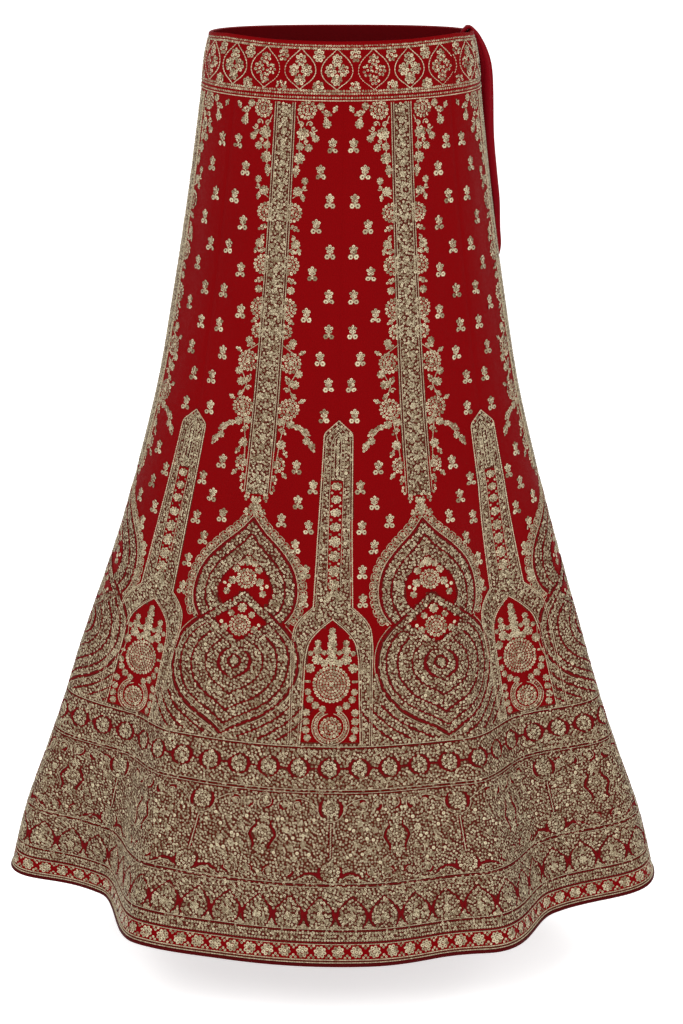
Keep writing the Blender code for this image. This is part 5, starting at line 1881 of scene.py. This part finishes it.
@dataclass
class WaistTie:
    """The soft cloth tie: gathered where it leaves the band, with long folds and a free end.

    A route point has its place, half its width front to back and half its thickness; a fold has
    its turn round the section, its spread and its depth.
    """

    cut_width: float = 0.028
    bulk: float = 0.0060
    steps: int = 170
    sides: int = 48
    route: tuple[tuple[float, ...], ...] = (
        (0.1400, 0.0150, -0.0360, 0.0075, 0.0026), (0.1376, 0.0160, -0.0120, 0.0075, 0.0026),
        (0.1366, 0.0180, 0.0030, 0.0075, 0.0024), (0.1420, 0.0210, 0.0073, 0.0078, 0.0024),
        (0.1500, 0.0250, 0.0000, 0.0082, 0.0036), (0.1545, 0.0290, -0.0090, 0.0088, 0.0050),
        (0.1590, 0.0350, -0.0219, 0.0095, 0.0066), (0.1622, 0.0395, -0.0350, 0.0100, 0.0076),
        (0.1637, 0.0430, -0.0527, 0.0105, 0.0085), (0.1645, 0.0450, -0.0667, 0.0105, 0.0084),
        (0.1673, 0.0470, -0.1235, 0.0105, 0.0075), (0.1715, 0.0475, -0.1600, 0.0105, 0.0070),
        (0.1756, 0.0485, -0.1920, 0.0105, 0.0065), (0.1778, 0.0505, -0.2265, 0.0098, 0.0055),
        (0.1797, 0.0525, -0.2495, 0.0080, 0.0045), (0.1802, 0.0530, -0.2590, 0.0040, 0.0020))
    folds: tuple[tuple[float, float, float], ...] = ((0.5, 0.26, -0.20), (1.35, 0.22, -0.13),
                                                     (2.5, 0.28, -0.20),
                                                     (3.6, 0.24, -0.15), (4.6, 0.30, -0.22),
                                                     (5.6, 0.22, -0.16))

    def build(self, finish: bpy.types.Material) -> bpy.types.Object:
        """Build the tie and hand it over to its node."""
        route = np.array(self.route)
        reach = np.concatenate([[0.0], np.cumsum(np.linalg.norm(np.diff(route[:, :3], axis=0), axis=1))])
        stops = np.linspace(0.0, reach[-1], self.steps)
        sized = np.column_stack([smooth_curve(reach, route[:, axis], stops)
                                 for axis in range(route.shape[1])])
        path = sized[:, :3]
        heading = np.gradient(path, axis=0)
        heading /= np.linalg.norm(heading, axis=1, keepdims=True)
        wide = np.array((0.0, 1.0, 0.0)) - heading * heading[:, 1:2]
        wide /= np.linalg.norm(wide, axis=1, keepdims=True)
        thin = np.cross(heading, wide)
        turns = np.arange(self.sides) * 2.0 * math.pi / self.sides
        share = stops / reach[-1]
        points = np.empty((self.steps, self.sides, 3))
        for i in range(self.steps):
            half_width, half_thick = sized[i, 3:]
            bulky = min(1.0, half_thick / self.bulk)
            pull = np.ones(self.sides)
            for at, spread, depth in self.folds:
                centre = at + 0.35 * math.sin(7.0 * share[i] + at)
                off = (turns - centre + math.pi) % (2.0 * math.pi) - math.pi
                uneven = 0.6 + 0.4 * math.sin(9.0 * share[i] + 2.0 * at)
                pull += bulky * depth * np.exp(-(off / spread) ** 2) * uneven
            points[i] = (path[i] + np.outer(pull * half_width * np.cos(turns), wide[i])
                         + np.outer(pull * half_thick * np.sin(turns), thin[i]))
        index = np.arange(self.steps * self.sides).reshape(self.steps, self.sides)
        after = np.roll(index, -1, axis=1)
        quads = np.column_stack([index[:-1].ravel(), after[:-1].ravel(), after[1:].ravel(),
                                 index[1:].ravel()]).tolist()
        caps = [index[0, ::-1].tolist(), index[-1].tolist()]
        mesh = bpy.data.meshes.new("waist_tie_cloth")
        mesh.from_pydata(points.reshape(-1, 3).tolist(), [], quads + caps)
        layer = mesh.uv_layers.new(name="cloth")
        chart = np.array([(0.06 * j / self.sides, stop) for stop in stops for j in range(self.sides)])
        corners = np.empty(len(mesh.loops), np.int32)
        mesh.loops.foreach_get("vertex_index", corners)
        layer.data.foreach_set("uv", chart[corners].astype(np.float32).ravel())
        mesh.materials.append(finish)
        mesh.shade_smooth()
        piece = bpy.data.objects.new("waist_tie_cloth", mesh)
        bpy.context.collection.objects.link(piece)
        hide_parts("waist_tie")
        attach(piece, BODY)
        return piece


@dataclass
class Studio:
    """The pale floor, the soft light and the camera."""

    floor_level: float = -1.110
    floor_glow: float = 0.62
    floor_size: float = 60.0
    camera_place: tuple[float, float, float] = (0.0, -3.5, 0.405)
    camera_pitch: float = 74.71
    lens: float = 73.03

    def build(self) -> None:
        """Set up everything that isn't the skirt."""
        self.add_floor()
        self.add_lights()
        self.add_camera()

    def add_floor(self) -> None:
        """Lay the floor."""
        half = 0.5 * self.floor_size
        mesh = bpy.data.meshes.new("floor")
        mesh.from_pydata([(-half, -half, self.floor_level), (half, -half, self.floor_level),
                          (half, half, self.floor_level), (-half, half, self.floor_level)], [],
                          [(0, 1, 2, 3)])
        material = bpy.data.materials.new("pale_floor")
        material.use_nodes = True
        board = NodeBoard(material.node_tree)
        shader = material.node_tree.nodes["Principled BSDF"]
        place = board.node("ShaderNodeTexCoord")
        board.feed(shader.inputs["Base Color"],
                   board.mix(board.noise(place.outputs["Object"], 3.0), (0.86, 0.86, 0.86, 1.0),
                             (0.90, 0.90, 0.90, 1.0)))
        shader.inputs["Roughness"].default_value = 0.9
        shader.inputs["Specular IOR Level"].default_value = 0.0
        shader.inputs["Emission Color"].default_value = (1.0, 1.0, 1.0, 1.0)
        shader.inputs["Emission Strength"].default_value = self.floor_glow
        mesh.materials.append(material)
        floor = bpy.data.objects.new("floor", mesh)
        bpy.context.collection.objects.link(floor)

    def add_lights(self) -> None:
        """Add a pale sky and three large soft lamps."""
        world = bpy.data.worlds.new("pale_room")
        world.use_nodes = True
        world.node_tree.nodes["Background"].inputs["Color"].default_value = (1.0, 0.99, 0.975, 1.0)
        world.node_tree.nodes["Background"].inputs["Strength"].default_value = 0.85
        bpy.context.scene.world = world
        for name, place, size, power, turn in (
                ("key", (-1.6, -3.2, 1.9), 1.6, 62.0, (58.0, 0.0, -26.0)),
                ("fill", (2.2, -2.8, 1.0), 1.8, 30.0, (70.0, 0.0, 38.0)),
                ("back", (0.6, 3.0, 2.2), 2.2, 36.0, (-56.0, 0.0, -10.0))):
            lamp = bpy.data.lights.new(name, "AREA")
            lamp.size, lamp.energy = size, power
            item = bpy.data.objects.new(name, lamp)
            item.location = place
            item.rotation_euler = [math.radians(angle) for angle in turn]
            bpy.context.collection.objects.link(item)

    def add_camera(self) -> None:
        """Stand the camera where the photograph was taken from."""
        camera = bpy.data.cameras.new("camera")
        camera.sensor_fit = "VERTICAL"
        camera.sensor_height = 24.0
        camera.lens = self.lens
        item = bpy.data.objects.new("camera", camera)
        item.location = self.camera_place
        item.rotation_euler = (math.radians(self.camera_pitch), 0.0, 0.0)
        bpy.context.collection.objects.link(item)
        bpy.context.scene.camera = item
        bpy.context.scene.view_settings.view_transform = "Standard"


class BeadLayer:
    """Carries flat work on to the cloth and makes its pieces."""

    seat = {Thread.SEQUIN: 0.00022, Thread.GOLD: 0.00022, Thread.RED: 0.00012}
    tilt = {Thread.SEQUIN: 0.16, Thread.GOLD: 0.05, Thread.RED: 0.05}
    tone_spread = {Thread.SEQUIN: 0.32, Thread.GOLD: 0.18, Thread.RED: 0.18}
    brightest, bright_bead = 0.93, 0.99

    def __init__(self, surface: ClothSurface, tree: BeadTree,
                 finishes: dict[Thread, bpy.types.Material]) -> None:
        """Keep what the pieces are made with."""
        self.surface, self.tree, self.finishes = surface, tree, finishes

    def pieces(self, name: str, work: Work, kali: int | None, level: float = 0.030,
               lift: float = 0.0) -> list[bpy.types.Object]:
        """Make the pieces of some work.

        Args:
            name: The start of the pieces' names.
            work: The work, from the kali's first seam, or round from the front seam.
            kali: The kali's number, or None where the work runs round the band.
            level: The level at which the way round is measured.
            lift: How far the cloth under it stands out of the skirt's wall.

        Returns:
            The pieces.
        """
        made = []
        for number, kind in enumerate(Thread):
            parts = [rows for rows in work.beads[kind] if len(rows)]
            if not parts:
                continue
            rows = np.vstack(parts)
            down = np.clip(rows[:, DOWN], 0.0, SKIRT_LENGTH - 0.0005)
            if kali is None:
                owner, share = self.surface.place_round(rows[:, ASIDE], level)
                across = share * self.surface.width(owner, down)
            else:
                owner, across = kali, rows[:, ASIDE]
            sideways, along, out = self.surface.axes(owner, across, down)
            turn = rows[:, TURN:TURN + 1]
            heading = sideways * np.cos(turn) + along * np.sin(turn)
            random = np.random.default_rng(SEED + 11 * number + (kali or 0))
            facing = out + random.normal(0.0, self.tilt[kind], out.shape)
            facing /= np.linalg.norm(facing, axis=1, keepdims=True)
            points = self.surface.point(owner, across, down, lift) + out * self.seat[kind]
            if kali is None:
                points[:, 2] += self.surface.rim_rise(points, down)
            size = rows[:, LENGTH:HEIGHT + 1] * random.uniform(0.95, 1.05, (len(rows), 1))
            tone = rows[:, TONE] + random.normal(0.0, self.tone_spread[kind], len(rows))
            tone = np.clip(tone, 0.0, self.brightest)
            tone[rows[:, TONE] > self.bright_bead] = self.bright_bead
            piece = self.tree.piece(f"{name}_{kind.value}", points, facing, heading, size, tone,
                                    self.finishes[kind])
            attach(piece, BODY)
            made.append(piece)
            logger.info("%s: %d beads, %d faces", piece.name, len(rows), len(piece.data.polygons))
        return made


BAND_JOINT_FRONT = 53.0
BAND_JOINT_BACK = -100.0


def main() -> None:
    """Dress the skirt, piece by piece."""
    logging.basicConfig(level=logging.INFO, format="%(message)s")
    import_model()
    surface = ClothSurface()
    effects = SharedEffects()
    cloth, lining = KALI_CLOTH.make(effects), LINING.make(effects)
    band_cloth, binding, tie_cloth = (finish.make(effects) for finish in (BAND_CLOTH, BINDING, TIE_CLOTH))
    threads = {Thread.SEQUIN: SEQUINS.make(effects), Thread.GOLD: GOLD_THREAD.make(effects),
               Thread.RED: RED_THREAD.make(effects)}
    layer = BeadLayer(surface, BeadTree(), threads)
    embroidery = Embroidery(surface)
    bands = (Waistband(surface, "waistband_front", BAND_JOINT_BACK, BAND_JOINT_FRONT, -0.0076),
             Waistband(surface, "waistband_back", BAND_JOINT_FRONT, BAND_JOINT_BACK + FULL_TURN, 0.158))
    for band in bands:
        piece = band.build((band_cloth, lining))
        start, end = band.ends()
        work = BandWork().build(start, end, band.first_frame)
        band.declare(piece, layer.pieces(band.name, work, None, band.level, band.stands_out))
        logger.info("%s: %.3f m round", piece.name, end - start)
    names = [band.name + "_cloth" for band in bands]
    for kali in range(len(KALIS)):
        shell = KaliShell(surface, kali)
        piece = shell.build((cloth, lining))
        on_it = layer.pieces(shell.name, embroidery.on_kali(kali), kali)
        on_it.append(HemBinding(surface, kali).build(binding))
        shell.declare(piece, on_it, names)
        logger.info("%s: cloth with %d pieces on it", piece.name, len(on_it))
    WaistTie().build(tie_cloth)
    Studio().build()


if __name__ == "__main__":
    main()
